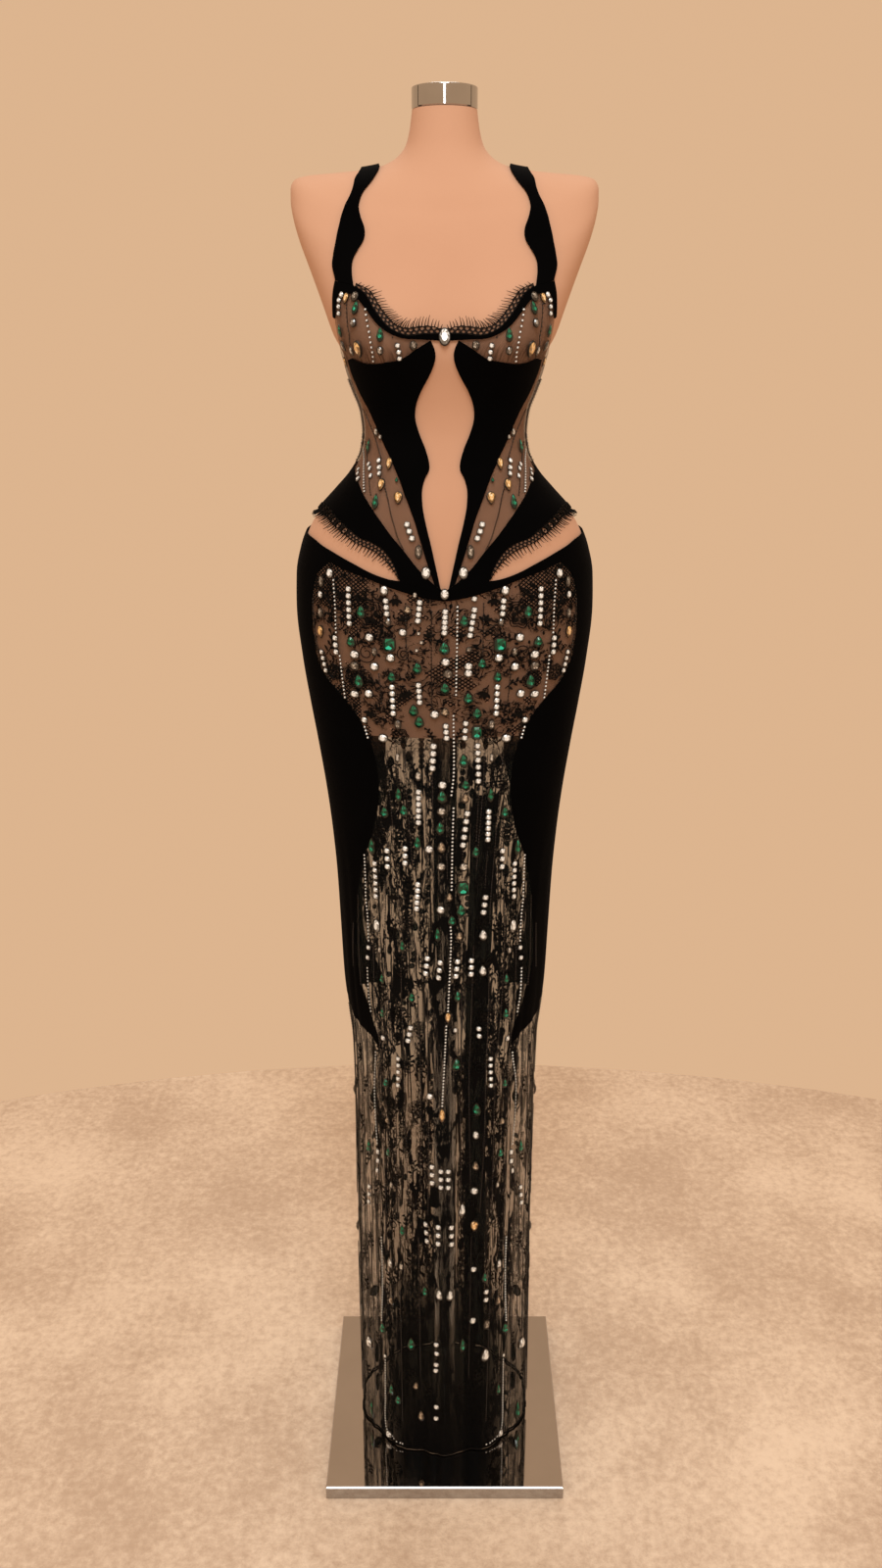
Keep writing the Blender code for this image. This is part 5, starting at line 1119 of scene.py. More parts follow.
def build_stand(metal, mirror, seam_finish):
    """Pole and neck cap, rounder than their solids, and the plate's finish."""
    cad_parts["stand_base"].data.materials.clear()
    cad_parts["stand_base"].data.materials.append(mirror)
    pole = turned("pole", ((POLE_RADIUS, POLE_BOTTOM), (POLE_RADIUS, FORM_BOTTOM - TOUCH)),
                  POLE_SIDES, metal)
    seat(pole, "stand_pole")
    low, high = NECK_TOP + TOUCH, NECK_TOP + TOUCH + CAP_HEIGHT
    profile = [(CAP_RADIUS - CAP_BEVEL, low), (CAP_RADIUS, low + CAP_BEVEL)]
    for turn in np.linspace(0, math.pi / 2, 6):
        profile.append((CAP_RADIUS - CAP_BEVEL * (1 - math.cos(turn)),
                        high - CAP_BEVEL * (1 - math.sin(turn))))
    cap = turned("neck_cap", profile, CAP_SIDES, metal, CAP_Y)
    seat(cap, "form_neck_cap")
    seams = Parts()
    for angle in CAP_SEAMS:
        out = np.array((math.sin(math.radians(angle)), -math.cos(math.radians(angle)), 0.0))
        across = np.array((-out[1], out[0], 0.0))
        corners = [out * reach + across * half + (0.0, CAP_Y, level)
                   for reach in (CAP_RADIUS - CAP_SEAM, CAP_RADIUS + CAP_SEAM / 4)
                   for half in (-CAP_SEAM, CAP_SEAM)
                   for level in (low + CAP_BEVEL, high - CAP_BEVEL)]
        seams.add(np.array(corners), np.array(BOX_FACES))
    seat(seams.make("neck_cap_seams", seam_finish, BOX_SHARP), None)


def build_form(finish):
    """The torso of the dress form, smooth and whole."""
    keys = np.array([FORM_BOTTOM] + [row[0] for row in FIGURE if row[0] > FORM_BOTTOM])
    levels = np.unique([np.linspace(a, b, FORM_RINGS) for a, b in zip(keys, keys[1:])])
    angles, levels = np.meshgrid(np.arange(0, 360, FORM_TURN), levels)
    rings = figure(np.radians(angles), levels, False)
    ends = [[0.0, 0.0, FORM_BOTTOM], [0.0, CAP_Y, NECK_TOP]]
    seat(stacked("form", rings, ends, finish, CLOTH_SHARP), "form_torso")


def angle_at(level, x, behind):
    """The angle in degrees where the figure's ring passes a given x."""
    low, high = (180.0, 90.0) if behind else (0.0, 90.0)
    for _ in range(30):
        middle = (low + high) / 2
        if figure(np.radians(middle), np.array(level))[0] < x:
            low = middle
        else:
            high = middle
    return (low + high) / 2


def strap_rows():
    """Inner and outer spot of the strap, from the cup over the shoulder to the back."""
    (inner_end, level), (outer_end, _) = EDGES["strap_end"]
    rows = [((inner_end, level), (outer_end, level))]
    for level, inner, outer in STRAP_FRONT:
        rows.append(((angle_at(level, inner, False), level),
                     (angle_at(level, outer, False), level)))
    over = [((a, b), (c, d)) for a, b, c, d in STRAP_RIDGE]
    rows += over
    rows += [((180.0 - a[0], a[1]), (180.0 - b[0], b[1])) for a, b in over[-2::-1]]
    for level, inner, outer in STRAP_BACK:
        rows.append(((angle_at(level, inner, True), level),
                     (angle_at(level, outer, True), level)))
    return np.array(rows)


def finer(rows, count):
    """Rows on a smooth curve through the given ones, count for each step."""
    before = np.vstack((rows[:1], rows[:-1]))
    after = np.vstack((rows[1:], rows[-1:]))
    slope = (after - before) / 2
    found = []
    for i in range(len(rows) - 1):
        for k in range(count):
            first, leave, last, arrive = hermite(k / count)
            found.append(first * rows[i] + leave * slope[i]
                         + last * rows[i + 1] + arrive * slope[i + 1])
    return np.array(found + [rows[-1]])


def build_straps(finish):
    """Velvet straps over the shoulders."""
    rows = finer(strap_rows(), STRAP_FINE)
    share = np.linspace(0, 1, STRAP_ACROSS + 1)[None, :, None]
    spots = rows[:, :1] * (1 - share) + rows[:, 1:] * share
    for side, word in SIDES:
        run = spots * (side, 1)
        sheet = flat(run.reshape(-1, 2))
        piece = grid_wall("velvet_strap_" + word, run, STRAP, np.zeros(run.shape[:2]), sheet,
                          finish)
        declare(piece, "strap_" + word)


def declare(piece, node):
    """Seats a piece of cloth on the body, in place of its node."""
    seat(piece, node)


# Spacing of the inner points of a cloth: degrees and metres of level
VELVET_GRID = (2.5, 0.006)
SHEER_GRID = (2.0, 0.005)
SKIRT_GRID = (1.5, 0.010)


def build_bodice(velvet_finish, sheer_finish, cup_finish):
    """Cups, velvet front panels, mesh sides, back and the sweep over the hips."""
    pieces = (
        ("cup_edging", "black_velvet", VELVET, VELVET_GRID,
         ("strap_end", "armhole_top", "-binding_bottom", "edging_bottom", "edging_middle",
          "-edging_top")),
        ("cup", "nude_mesh", SHEER, SHEER_GRID,
         ("cup_seam", "cup_seam_end", "-cup_corner", "-cup_side", "-binding_bottom",
          "edging_bottom")),
        ("front_panel", "black_velvet", VELVET, VELVET_GRID,
         ("keyhole", "front_tip", "-front_side", "-cup_seam")),
        ("side_panel", "nude_mesh", SHEER, SHEER_GRID,
         ("front_side", "-sweep_top", "-side_seam", "-cup_seam_end")),
        ("back_panel", "nude_mesh", SHEER, SHEER_GRID,
         ("sweep_back", "-back_centre", "-back_top", "cup_corner", "side_seam")),
        ("hip_sweep", "black_velvet", VELVET, VELVET_GRID,
         ("sweep_top", "-front_tip", "sweep_tip", "sweep_joint", "cutout_top",
          "sweep_joint_back", "-sweep_centre", "-sweep_back")),
        ("skirt_velvet", "black_velvet", VELVET, VELVET_GRID,
         ("cutout_bottom_side", "velvet_back", "velvet_hem_back", "-velvet_hem",
          "-velvet_front", "-band_end")),
    )
    for node, slot, layer, grid, names in pieces:
        outline = chain_of(*names)
        finish = velvet_finish if slot == "black_velvet" else sheer_finish
        if node == "cup":
            finish = cup_finish
        for side, spots in (("right", outline), ("left", mirrored(outline))):
            name = f"{node}_{side}"
            declare(shell(name + "_cloth", spots, layer, grid, finish), name)


def skirt_front_outline():
    """Outline of the skirt's front mesh."""
    return whole(chain_of("-band_bottom", "velvet_front", "velvet_hem", "tube_seam", "hem_front"))


def build_skirt(velvet_finish, front_finish, back_finish, lace_finish):
    """Velvet band, mesh front and back, placket and the facing of the vent."""
    band = whole(chain_of("sweep_joint", "cutout_bottom_front", "band_end", "band_bottom"))
    back = whole(chain_of("-hem_back", "-tube_seam", "-velvet_hem_back", "-velvet_back",
                          "cutout_bottom_back", "sweep_joint_back", "skirt_slot", "slot_end"),
                 180.0)
    side = chain_of("back_centre", "sweep_centre", "skirt_slot", "slot_end")
    placket = whole(np.vstack(([[180.0, side[0, 1]]], side)), 180.0)
    (near, far), (high, low) = FACING_ANGLES, FACING_LEVELS
    strip = curve(((near, high), (near, low)))
    facing = np.vstack((strip, np.stack((np.full(len(strip), far), strip[::-1, 1]), 1)))
    for node, outline, layer, grid, finish, slot, under in (
            ("skirt_band", band, VELVET, VELVET_GRID, velvet_finish, "black_velvet", "form"),
            ("skirt_front", skirt_front_outline(), SHEER, SKIRT_GRID, front_finish, "lace_mesh",
             "form"),
            ("skirt_back", back, SHEER, SKIRT_GRID, back_finish, "lace_mesh", "form"),
            ("back_placket", placket, VELVET, VELVET_GRID, velvet_finish, "black_velvet", "form"),
            ("vent_facing", facing, FACING, VELVET_GRID, lace_finish, "black_lace",
             "skirt_back_cloth")):
        declare(shell(node + "_cloth", outline, layer, grid, finish), node)


class Parts:
    """Points and triangles gathered for one piece."""

    def __init__(self):
        self.points, self.faces, self.painted_shines = [], [], []
        self.count = 0

    def add(self, points, faces, painted_shines=None):
        """Adds points and triangles, whose numbers count from the first of these points."""
        points = points.reshape(-1, 3)
        self.points.append(points)
        self.faces.append(faces.reshape(-1, 3) + self.count)
        self.count += len(points)
        if painted_shines is not None:
            self.painted_shines.append(painted_shines)

    def make(self, name, finish, sharp=None):
        """The object of all that was added."""
        painted_shines = np.concatenate(self.painted_shines) if self.painted_shines else None
        return add_mesh(name, np.vstack(self.points), np.vstack(self.faces), finish,
                        painted_shines=painted_shines, sharp=sharp)


def quads(index, wrap):
    """Triangles over a grid of point numbers, closed round its last axis or not."""
    if wrap:
        index = np.concatenate((index, index[..., :1]), -1)
    a, b = index[..., :-1, :-1].ravel(), index[..., :-1, 1:].ravel()
    c, d = index[..., 1:, 1:].ravel(), index[..., 1:, :-1].ravel()
    return np.vstack((np.stack((a, b, c), 1), np.stack((a, c, d), 1)))


def add_tubes(parts, runs, out, radius, sides=3):
    """Cords along runs of spots, many at once; runs has runs x steps x 2."""
    many, steps = runs.shape[:2]
    point, _, _, normal, _, _ = frame_at(runs[..., 0], runs[..., 1])
    out = np.broadcast_to(out, (many, steps))
    radius = np.broadcast_to(radius, (many, steps))
    centre = point + normal * out[..., None]
    along = unit(np.gradient(centre, axis=1))
    side = unit(np.cross(along, normal))
    rise = np.cross(along, side)
    turn = 2 * math.pi * np.arange(sides) / sides - math.pi / 2
    ring = (np.cos(turn)[:, None] * side[:, :, None] + np.sin(turn)[:, None] * rise[:, :, None])
    points = centre[:, :, None] + radius[..., None, None] * ring
    index = np.arange(many * steps * sides).reshape(many, steps, sides)
    faces = [quads(index, True)]
    for k in range(1, sides - 1):
        faces.append(index[:, 0][:, (0, k + 1, k)])
        faces.append(index[:, -1][:, (0, k, k + 1)])
    parts.add(points, np.vstack(faces))


def add_pads(parts, rings, out, rise):
    """Filled petals with raised middles; rings has petals x corners x 2."""
    many, corners = rings.shape[:2]
    middle = rings.mean(1)
    rim = on_figure(rings.reshape(-1, 2), out).reshape(many, corners, 3)
    top = on_figure(middle, out + rise)[:, None]
    low = on_figure(middle, out - TOUCH)[:, None]
    points = np.concatenate((rim, top, low), 1)
    index = np.arange(many * (corners + 2)).reshape(many, corners + 2)
    ring = index[:, :corners]
    after = np.roll(ring, -1, 1)
    crest = np.broadcast_to(index[:, corners:corners + 1], ring.shape)
    base = np.broadcast_to(index[:, corners + 1:], ring.shape)
    parts.add(points, np.vstack((np.stack((ring, after, crest), -1).reshape(-1, 3),
                                 np.stack((after, ring, base), -1).reshape(-1, 3))))


def spots_at(distance, lengths, spots):
    """Spots at distances along a run whose own spots lie at lengths."""
    return np.stack([np.interp(distance, lengths, spots[:, k]) for k in (0, 1)], 1)


def spaced(points, pitch):
    """Spots a pitch apart along a smooth run through the given ones."""
    fine = curve(points, pitch / 2)
    lengths = travelled(fine)
    count = max(2, round(lengths[-1] / pitch) + 1)
    return spots_at(np.linspace(0, lengths[-1], count), lengths, fine)


# Stones: corners, how much larger than listed the green pears are made, and rise as a share
# of the smaller side
STONE_CORNERS = 10
GREEN_SCALE = 1.13
STONE_RISE = 0.36
# Largest share by which the painted shine of a cut face is dimmed at random
PAINTED_SHINE_SPREAD = 0.3
# Rings of a cut stone below its flat top and of its setting, each with its width and height as
# shares of the stone's, and the width of the top, wider on the eight-sided kind
STONE_RINGS = ((0.9, 0.0), (1.0, 0.45))
SETTING_RINGS = ((1.20, 0.0), (1.14, 0.42), (1.00, 0.50), (0.88, 0.02))
TOP_WIDTH = 0.56
WIDE_TOP = 0.62
# How far the corners of the eight-sided kind are from its middle lines
EIGHT_SIDES = 0.62
# Painted shine of the cut faces, in place of reflections and of light from one side: the two
# that take turns round a stone; middle, range, start in radians and limits of the painted light
# round it; share of it on the foot; on the top every third face and the others; and on the tops
# of green stones the low ones, painted as a highlight, every third one and the others
FACET_PAINTED_FLASH = (0.95, 0.40)
FACET_PAINTED_LIGHT = (0.62, 0.38, 0.8)
FACET_LIMITS = (0.15, 1.0)
FOOT_SHARE = 0.25
TOP_PAINTED_SHINE = (0.72, 1.0)
GREEN_PAINTED_TOPS = {"e": (0.92, 0.25, 0.66), "E": (1.2, 0.25, 0.50)}
# Chains of small stones: corners, width and height, spacing, and size of their cups
CHAIN_CORNERS = 6
CHAIN_STONE = (0.0028, 0.0026)
CHAIN_PITCH = 0.0045
CHAIN_CUP = 1.04
# Bead lines: radius and spacing of the beads, lift and radius of the thread
BEAD_RADIUS = 0.00105
BEAD_PITCH = 0.0037
THREAD_LIFT = 0.0002
THREAD_RADIUS = 0.0004
# Glass of each kind of stone
GLASS = {"c": "clear", "o": "clear", "p": "clear", "e": "emerald", "E": "emerald",
         "g": "gold", "m": "gold", "k": "smoke", "s": "silver", "t": "tan"}
# The two stones on the centre line: node, level, width, height
CENTRE_STONES = (("bust_stone", 1.4850, 0.01035, 0.0153), ("hip_stone", 1.2235, 0.0081, 0.01035))
CENTRE_CORNERS = 16
# What lies above this level is bodice, and is not repeated on the back
BODICE_BOTTOM = 1.244
# Stones of the back stay clear of the placket: degrees beside it, distance below it
PLACKET_BESIDE = 6.5
PLACKET_BELOW = 0.012


def stone_outline(kind, corners):
    """Corners of a stone seen from the front, in half sizes, left-handed."""
    turn = 2 * math.pi * (np.arange(corners) + 0.5) / corners
    x, y = np.cos(turn), np.sin(turn)
    if kind == "E":
        cut = EIGHT_SIDES
        return np.array(((1, -cut), (1, cut), (cut, 1), (-cut, 1), (-1, cut), (-1, -cut),
                         (-cut, -1), (cut, -1)))
    if kind == "m":
        return np.stack((x * np.sqrt(np.abs(x)), y * (1 + 0.08 * np.abs(y))), 1)
    if kind in "petg":
        towards_point = -y if kind == "g" else y
        return np.stack((x * (1 - 0.42 * np.clip(towards_point + 0.25, 0, None)), y), 1)
    return np.stack((x, y), 1)


def rings_of(rim, rows):
    """The points of an outline at several widths and heights."""
    return np.vstack([np.column_stack((rim * wide, np.full(len(rim), high)))
                      for wide, high in rows])


def stone_shape(kind, corners):
    """A cut stone: points in half sizes, triangles and the painted shine of each face, in place of
    light and reflections.
    """
    rim = stone_outline(kind, corners)
    count = len(rim)
    top = WIDE_TOP if kind == "E" else TOP_WIDTH
    points = np.vstack((rings_of(rim, (*STONE_RINGS, (top, 1.0))), [[0, 0, 1.0], [0, 0, 0.0]]))
    index = np.arange(3 * count).reshape(3, count)
    after = np.roll(index, -1, 1)
    crest, base = 3 * count, 3 * count + 1
    number = np.arange(count)
    # Painted reflections: the faces that take turns round the stone are painted brighter and dimmer
    flash = np.where(number % 2 == 0, *FACET_PAINTED_FLASH)
    # Painted light: the faces on one side of the stone are painted brighter than those on the other
    middle, reach, start = FACET_PAINTED_LIGHT
    lit = np.clip(middle + reach * np.sin(2 * math.pi * number / count + start), *FACET_LIMITS)
    faces, painted_shines = [], []
    for ring, bright in ((0, flash * FOOT_SHARE), (1, lit * flash)):
        a, b = index[ring], after[ring]
        c, d = after[ring + 1], index[ring + 1]
        faces += [np.stack((a, b, c), 1), np.stack((a, c, d), 1)]
        painted_shines += [bright, np.roll(bright, 1)]
    faces.append(np.stack((index[2], after[2], np.full(count, crest)), 1))
    # The lowest top faces of green stones are painted as a highlight
    low, *others = GREEN_PAINTED_TOPS.get(kind, (0.0, *TOP_PAINTED_SHINE))
    lowest = kind in GREEN_PAINTED_TOPS and (rim + np.roll(rim, -1, 0))[:, 1] < -0.9
    painted_shines.append(np.where(lowest, low, np.where(number % 3 == 0, *others)))
    faces.append(np.stack((after[0], index[0], np.full(count, base)), 1))
    painted_shines.append(np.zeros(count))
    return points, np.vstack(faces), np.concatenate(painted_shines)


def setting_shape(kind, corners):
    """The dark rim round a stone, in half sizes of the stone."""
    rim = stone_outline(kind, corners)
    index = np.arange(len(SETTING_RINGS) * len(rim)).reshape(-1, len(rim))
    return rings_of(rim, SETTING_RINGS), quads(np.vstack((index, index[:1])), True)


def set_on(parts, shape, spots, sizes, out, painted_shines=None):
    """A shape at many spots, each with its width and height; the rise follows the smaller."""
    points, faces = shape
    point, right, up, normal, _, _ = frame_at(spots[:, 0], spots[:, 1])
    half = sizes / 2
    rise = np.minimum(sizes[:, 0], sizes[:, 1]) * STONE_RISE
    made = (point[:, None] + right[:, None] * (points[None, :, 0] * half[:, :1])[..., None]
            + up[:, None] * (points[None, :, 1] * half[:, 1:])[..., None]
            + normal[:, None] * (out + points[None, :, 2] * rise[:, None])[..., None])
    many = np.arange(len(spots))[:, None, None] * len(points) + faces[None]
    shades = None
    # The painted shine of each stone's faces is dimmed at random
    if painted_shines is not None:
        dimmed = 1 - PAINTED_SHINE_SPREAD * rng.random((len(spots), len(painted_shines)))
        shades = np.clip(painted_shines[None] * dimmed, 0, 1).ravel()
    parts.add(made, many, shades)


def set_stones(stones, rims, kind, corners, spots, sizes, out, rim_scale=1.0):
    """Cut stones and their dark settings at spots, each with its width and height."""
    points, faces, painted_shines = stone_shape(kind, corners)
    set_on(stones, (points, faces), spots, sizes, out, painted_shines)
    set_on(rims, setting_shape(kind, corners), spots, sizes * rim_scale, out)


def behind(spots):
    """The same spots on the back."""
    found = spots.copy()
    found[..., 0] = 180.0 - spots[..., 0]
    return found


def both_sides(runs):
    """Each run of spots and its mirror image."""
    return [np.asarray(run) * (side, 1) for run in runs for side in (1, -1)]


def clear_of_placket(spots):
    """Whether spots, counted from the centre line, keep clear of the placket."""
    return ((np.abs(spots[..., 0]) > PLACKET_BESIDE)
            | (spots[..., 1] < PLACKET_BOTTOM - PLACKET_BELOW))


def stone_list():
    """Kind, angle, level, width and height of every smaller stone."""
    rows = []
    for table, sides in ((ROWS_BOTH_SIDES, (1, -1)), (ROWS_ONCE, (1,))):
        for angle, level, last_angle, last_level, count, size in table:
            for share in np.arange(count) / (count - 1):
                at = (angle + (last_angle - angle) * share, level + (last_level - level) * share)
                rows += [("c", side * at[0], at[1], size, size) for side in sides]
    for table, sides in ((STONES_BOTH_SIDES, (1, -1)), (STONES_ONCE, (1,))):
        for kind, angle, *rest in table:
            rows += [(kind, side * angle, *rest) for side in sides]
    back = [(kind, 180.0 - angle, level, *size) for kind, angle, level, *size in rows
            if level < BODICE_BOTTOM and clear_of_placket(np.array((angle, level)))]
    upper = [(kind, side * angle, *rest) for kind, angle, *rest in STONES_UPPER_BACK
             for side in (1, -1)]
    return rows + back + upper


def build_stones(glass, setting, bead_finish):
    """Cut stones, their dark rims, the chains of small stones and the bead lines."""
    listed = stone_list()
    rims, heaps = Parts(), {}
    for kind, name in GLASS.items():
        rows = [row for row in listed if row[0] == kind]
        spots = np.array([row[1:3] for row in rows])
        sizes = np.array([row[3:5] for row in rows]) / 1000 * (GREEN_SCALE if kind == "e" else 1.0)
        set_stones(heaps.setdefault(name, Parts()), rims, kind, STONE_CORNERS, spots, sizes,
                   ON_SHEER)
    chains = both_sides(CHAINS_BOTH_SIDES) + [np.asarray(run) for run in CHAINS_ONCE]
    runs = [spaced(run, CHAIN_PITCH) for run in chains]
    spots = np.vstack(runs + [behind(run[clear_of_placket(run)]) for run in runs
                              if run[0, 1] < BODICE_BOTTOM])
    small, cups = Parts(), Parts()
    set_stones(small, cups, "c", CHAIN_CORNERS, spots, np.tile(CHAIN_STONE, (len(spots), 1)),
               ON_SHEER, CHAIN_CUP)
    for name, parts, finish, sharp in (
            ("chain_stones", small, glass["clear"], 0), ("chain_cups", cups, setting, RIM_SHARP),
            ("stone_rims", rims, setting, RIM_SHARP)):
        seat(parts.make(name, finish, sharp), None)
    for name, heap in heaps.items():
        seat(heap.make("stones_" + name, glass[name], 0), None)
    for node, level, *size in CENTRE_STONES:
        stone, rim = Parts(), Parts()
        set_stones(stone, rim, "o", CENTRE_CORNERS, np.array(((0.0, level),)), np.array((size,)),
                   ON_VELVET + TOUCH)
        seat(stone.make(node + "_cut", glass["clear"], 0), node)
        seat(rim.make(node + "_cut_rim", setting, RIM_SHARP), None)
    build_beads(bead_finish)


def bead_shape():
    """A flattened ball of 20 triangles for set_on."""
    golden = (1 + math.sqrt(5)) / 2
    corners = np.array([(a, b * golden, 0) for a in (-1, 1) for b in (-1, 1)])
    corners = np.vstack((corners, corners[:, (2, 0, 1)], corners[:, (1, 2, 0)]))
    corners /= np.linalg.norm(corners[0])
    faces = []
    for i, j, k in combinations(range(len(corners)), 3):
        a, b, c = corners[[i, j, k]]
        if max(np.linalg.norm(a - b), np.linalg.norm(b - c), np.linalg.norm(c - a)) < 1.2:
            faces.append((i, j, k) if np.cross(b - a, c - a) @ a > 0 else (i, k, j))
    return (corners * (1, 1, 0.8) + (0, 0, 0.7)) / (1, 1, 2 * STONE_RISE), np.array(faces)


def build_beads(finish):
    """Lines of black beads on their threads, on the front and on the back."""
    front = both_sides(BEADS_BOTH_SIDES) + [np.asarray(run) for run in BEADS_ONCE]
    back = [behind(run) for run in front
            if run[0, 1] < BODICE_BOTTOM and clear_of_placket(run).all()]
    back += both_sides(BEADS_UPPER_BACK)
    bead = bead_shape()
    for name, runs in (("beads_front", front), ("beads_back", back)):
        parts, threads = Parts(), Parts()
        for run in runs:
            spots = spaced(run, BEAD_PITCH)
            set_on(parts, bead, spots, np.full((len(spots), 2), 2 * BEAD_RADIUS), ON_SHEER)
            if len(spots) > 2:
                add_tubes(threads, spots[None], ON_SHEER + THREAD_LIFT, THREAD_RADIUS)
        seat(parts.make(name, finish), None)
        seat(threads.make(name + "_threads", finish), None)


def ring_path(radius, waves=0, depth=0.0, steps=13, y=0.0):
    """A closed ring of points, waved if it has waves."""
    turn = np.linspace(0, 2 * math.pi, steps)
    reach = radius * (1 + depth * np.cos(waves * turn))
    return np.stack((reach * np.cos(turn), y + reach * np.sin(turn)), 1)


def rotated(points, turn):
    """Flat points turned left by an angle in radians."""
    cosine, sine = math.cos(turn), math.sin(turn)
    return points @ np.array(((cosine, sine), (-sine, cosine)))


def petal(x, y, length, width, turn):
    """Corners of a pointed petal whose foot is at x, y."""
    shape = np.array(((0, 0), (0.25, -0.8), (0.6, -1), (0.88, -0.5), (1, 0), (0.88, 0.5), (0.6, 1),
                      (0.25, 0.8))) * (length, width / 2)
    return rotated(shape, turn) + (x, y)


def lace_figure(shape):
    """Cords and petals of a lace figure about 2 units across."""
    cords, petals = [], []
    if shape == "rose":
        cords = [ring_path(0.26), ring_path(1.0, 7, 0.10, 29), ring_path(0.80, 7, 0.10, 29)]
        for k in range(7):
            turn = 2 * math.pi * k / 7
            petals.append(petal(0.30 * math.cos(turn), 0.30 * math.sin(turn), 0.44, 0.34, turn))
    elif shape == "curl":
        share = np.linspace(0, 1, 29)
        turn = 3.6 * math.pi * share
        reach = 1.0 - 0.82 * share
        cords = [np.stack((reach * np.cos(turn), reach * np.sin(turn)), 1)]
        for k in range(6):
            at = 0.6 + 1.1 * k
            petals.append(petal(1.0 * math.cos(at), 1.0 * math.sin(at), 0.42, 0.26, at - 0.9))
    elif shape == "leaf":
        y = np.linspace(-1.1, 1.1, 13)
        cords = [np.stack((0.30 * (1 - y ** 2), y), 1)]
        for k in range(7):
            y = -0.85 + 0.28 * k
            x = 0.30 * (1 - y ** 2)
            side = 1 if k % 2 else -1
            petals.append(petal(x, y, 0.62 - 0.04 * k, 0.25, math.pi / 2 - side * 0.85))
    else:
        cords = [ring_path(0.30, y=-0.45)]
        for turn in (0.55, 1.25, 1.9, 2.6):
            petals.append(petal(0.0, -0.30, 1.0, 0.42, turn))
        y = np.linspace(-1.2, -0.3, 13)
        cords.append(np.stack((0.1 * np.sin(4 * y), y), 1))
    return cords, petals


def build_lace_figures(finish):
    """Corded lace flowers, leaves and curls, on the front and on the back."""
    shapes = {shape: lace_figure(shape) for shape in ("rose", "curl", "leaf", "bud")}
    outline = flat(inset(closed(skirt_front_outline()), FIGURE_MARGIN))
    for name, back in (("lace_figures_front", False), ("lace_figures_back", True)):
        parts = Parts()

        def on_mesh(spots):
            """Whether spots lie on the skirt's mesh, clear of its seams."""
            return inside(flat(behind(spots) if back else spots), outline)

        for shape, angle, level, size, turn in FIGURES_BOTH_SIDES:
            for side in (1, -1):
                centre = np.array(((180.0 - side * angle if back else side * angle, level),))
                flip = -side if back else side

                def placed(path):
                    """Spots of a path of this figure."""
                    local = rotated(path, math.radians(turn)) * (size / 1000 * flip, size / 1000)
                    return moved(np.repeat(centre, len(local), 0), local[:, 0], local[:, 1])

                cords, petals = shapes[shape]
                for spots in map(placed, cords):
                    clear = on_mesh(spots)
                    ends = np.flatnonzero(np.diff(np.concatenate(([0], clear, [0]))))
                    for start, end in ends.reshape(-1, 2):
                        if end - start > 3:
                            add_tubes(parts, spots[None, start:end], ON_SHEER + FIGURE_LIFT,
                                      FIGURE_CORD)
                rings = [placed(one)[::flip] for one in petals]
                rings = [ring for ring in rings if on_mesh(ring).all()]
                if rings:
                    add_pads(parts, np.array(rings), ON_SHEER + PETAL_LIFT, PETAL_RISE)
        seat(parts.make(name, finish, CLOTH_SHARP), None)


# Lace trims: depth of the band, then length, lean, lift, spacing and radius of the lashes
TRIMS = {
    "cup_lace": {"depth": 0.0078, "lash": 0.0098, "lean": 0.0030, "lift": 0.0030,
                 "pitch": 0.0022, "thick": 0.00062},
    "hip_lace": {"depth": 0.0108, "lash": 0.0130, "lean": -0.0020, "lift": 0.0055,
                 "pitch": 0.0040, "thick": 0.00085},
}
# Clearance and thickness of the band, spacing of its points, length of a scallop and its
# depth as a share of the band's, what is left free at its ends, and where the hip trim ends
# in degrees
TRIM_CLEAR = (0.0012, 0.0006)
TRIM_STEP = 0.0011
SCALLOP = 0.0052
SCALLOP_DEPTH = 0.14
TRIM_END = 0.0015
HIP_TRIM_END = 112.0
# Size at the very ends, length over which it grows, and share of the free room it takes
TRIM_NARROW = 0.45
TRIM_FADE = 0.020
TRIM_SHARE = 0.62
# Half of the length over which the trim's direction is taken
TRIM_SMOOTH = 0.012
# Ruffle at the ends: height, length of a wave, and length over which it fades
RUFFLE = (0.0011, 0.0042, 0.03)
# Radii of the cords on the band's edge, along its foot and in its rings
EDGE_CORD = 0.00055
FOOT_CORD = 0.00045
RING_CORD = 0.0007
# Where the foot's cord lies and where the lashes start, as shares of the band's depth
FOOT_REACH = 0.12
LASH_START = 0.84
# Lashes: how their lengths vary along the band and in what step, least share and range of the
# lengths and of the leans drawn at random, and how much thinner their ends are
LASH_WAVE = (0.14, 2.4)
LASH_LENGTHS = (0.85, 0.25)
LASH_LEANS = (0.8, 0.4)
LASH_TAPER = 0.6
# Distance of the outer ring from the trim's end
RING_END = 0.012
# Picots: level of the top one, spacing of points, how far they stand out, radii of the cord
# and of the picots
PICOT_TOP = 1.445
PICOT_STEP = 0.0008
PICOT_DEPTH = 0.0016
PICOT_RADII = (0.0006, 0.0004)


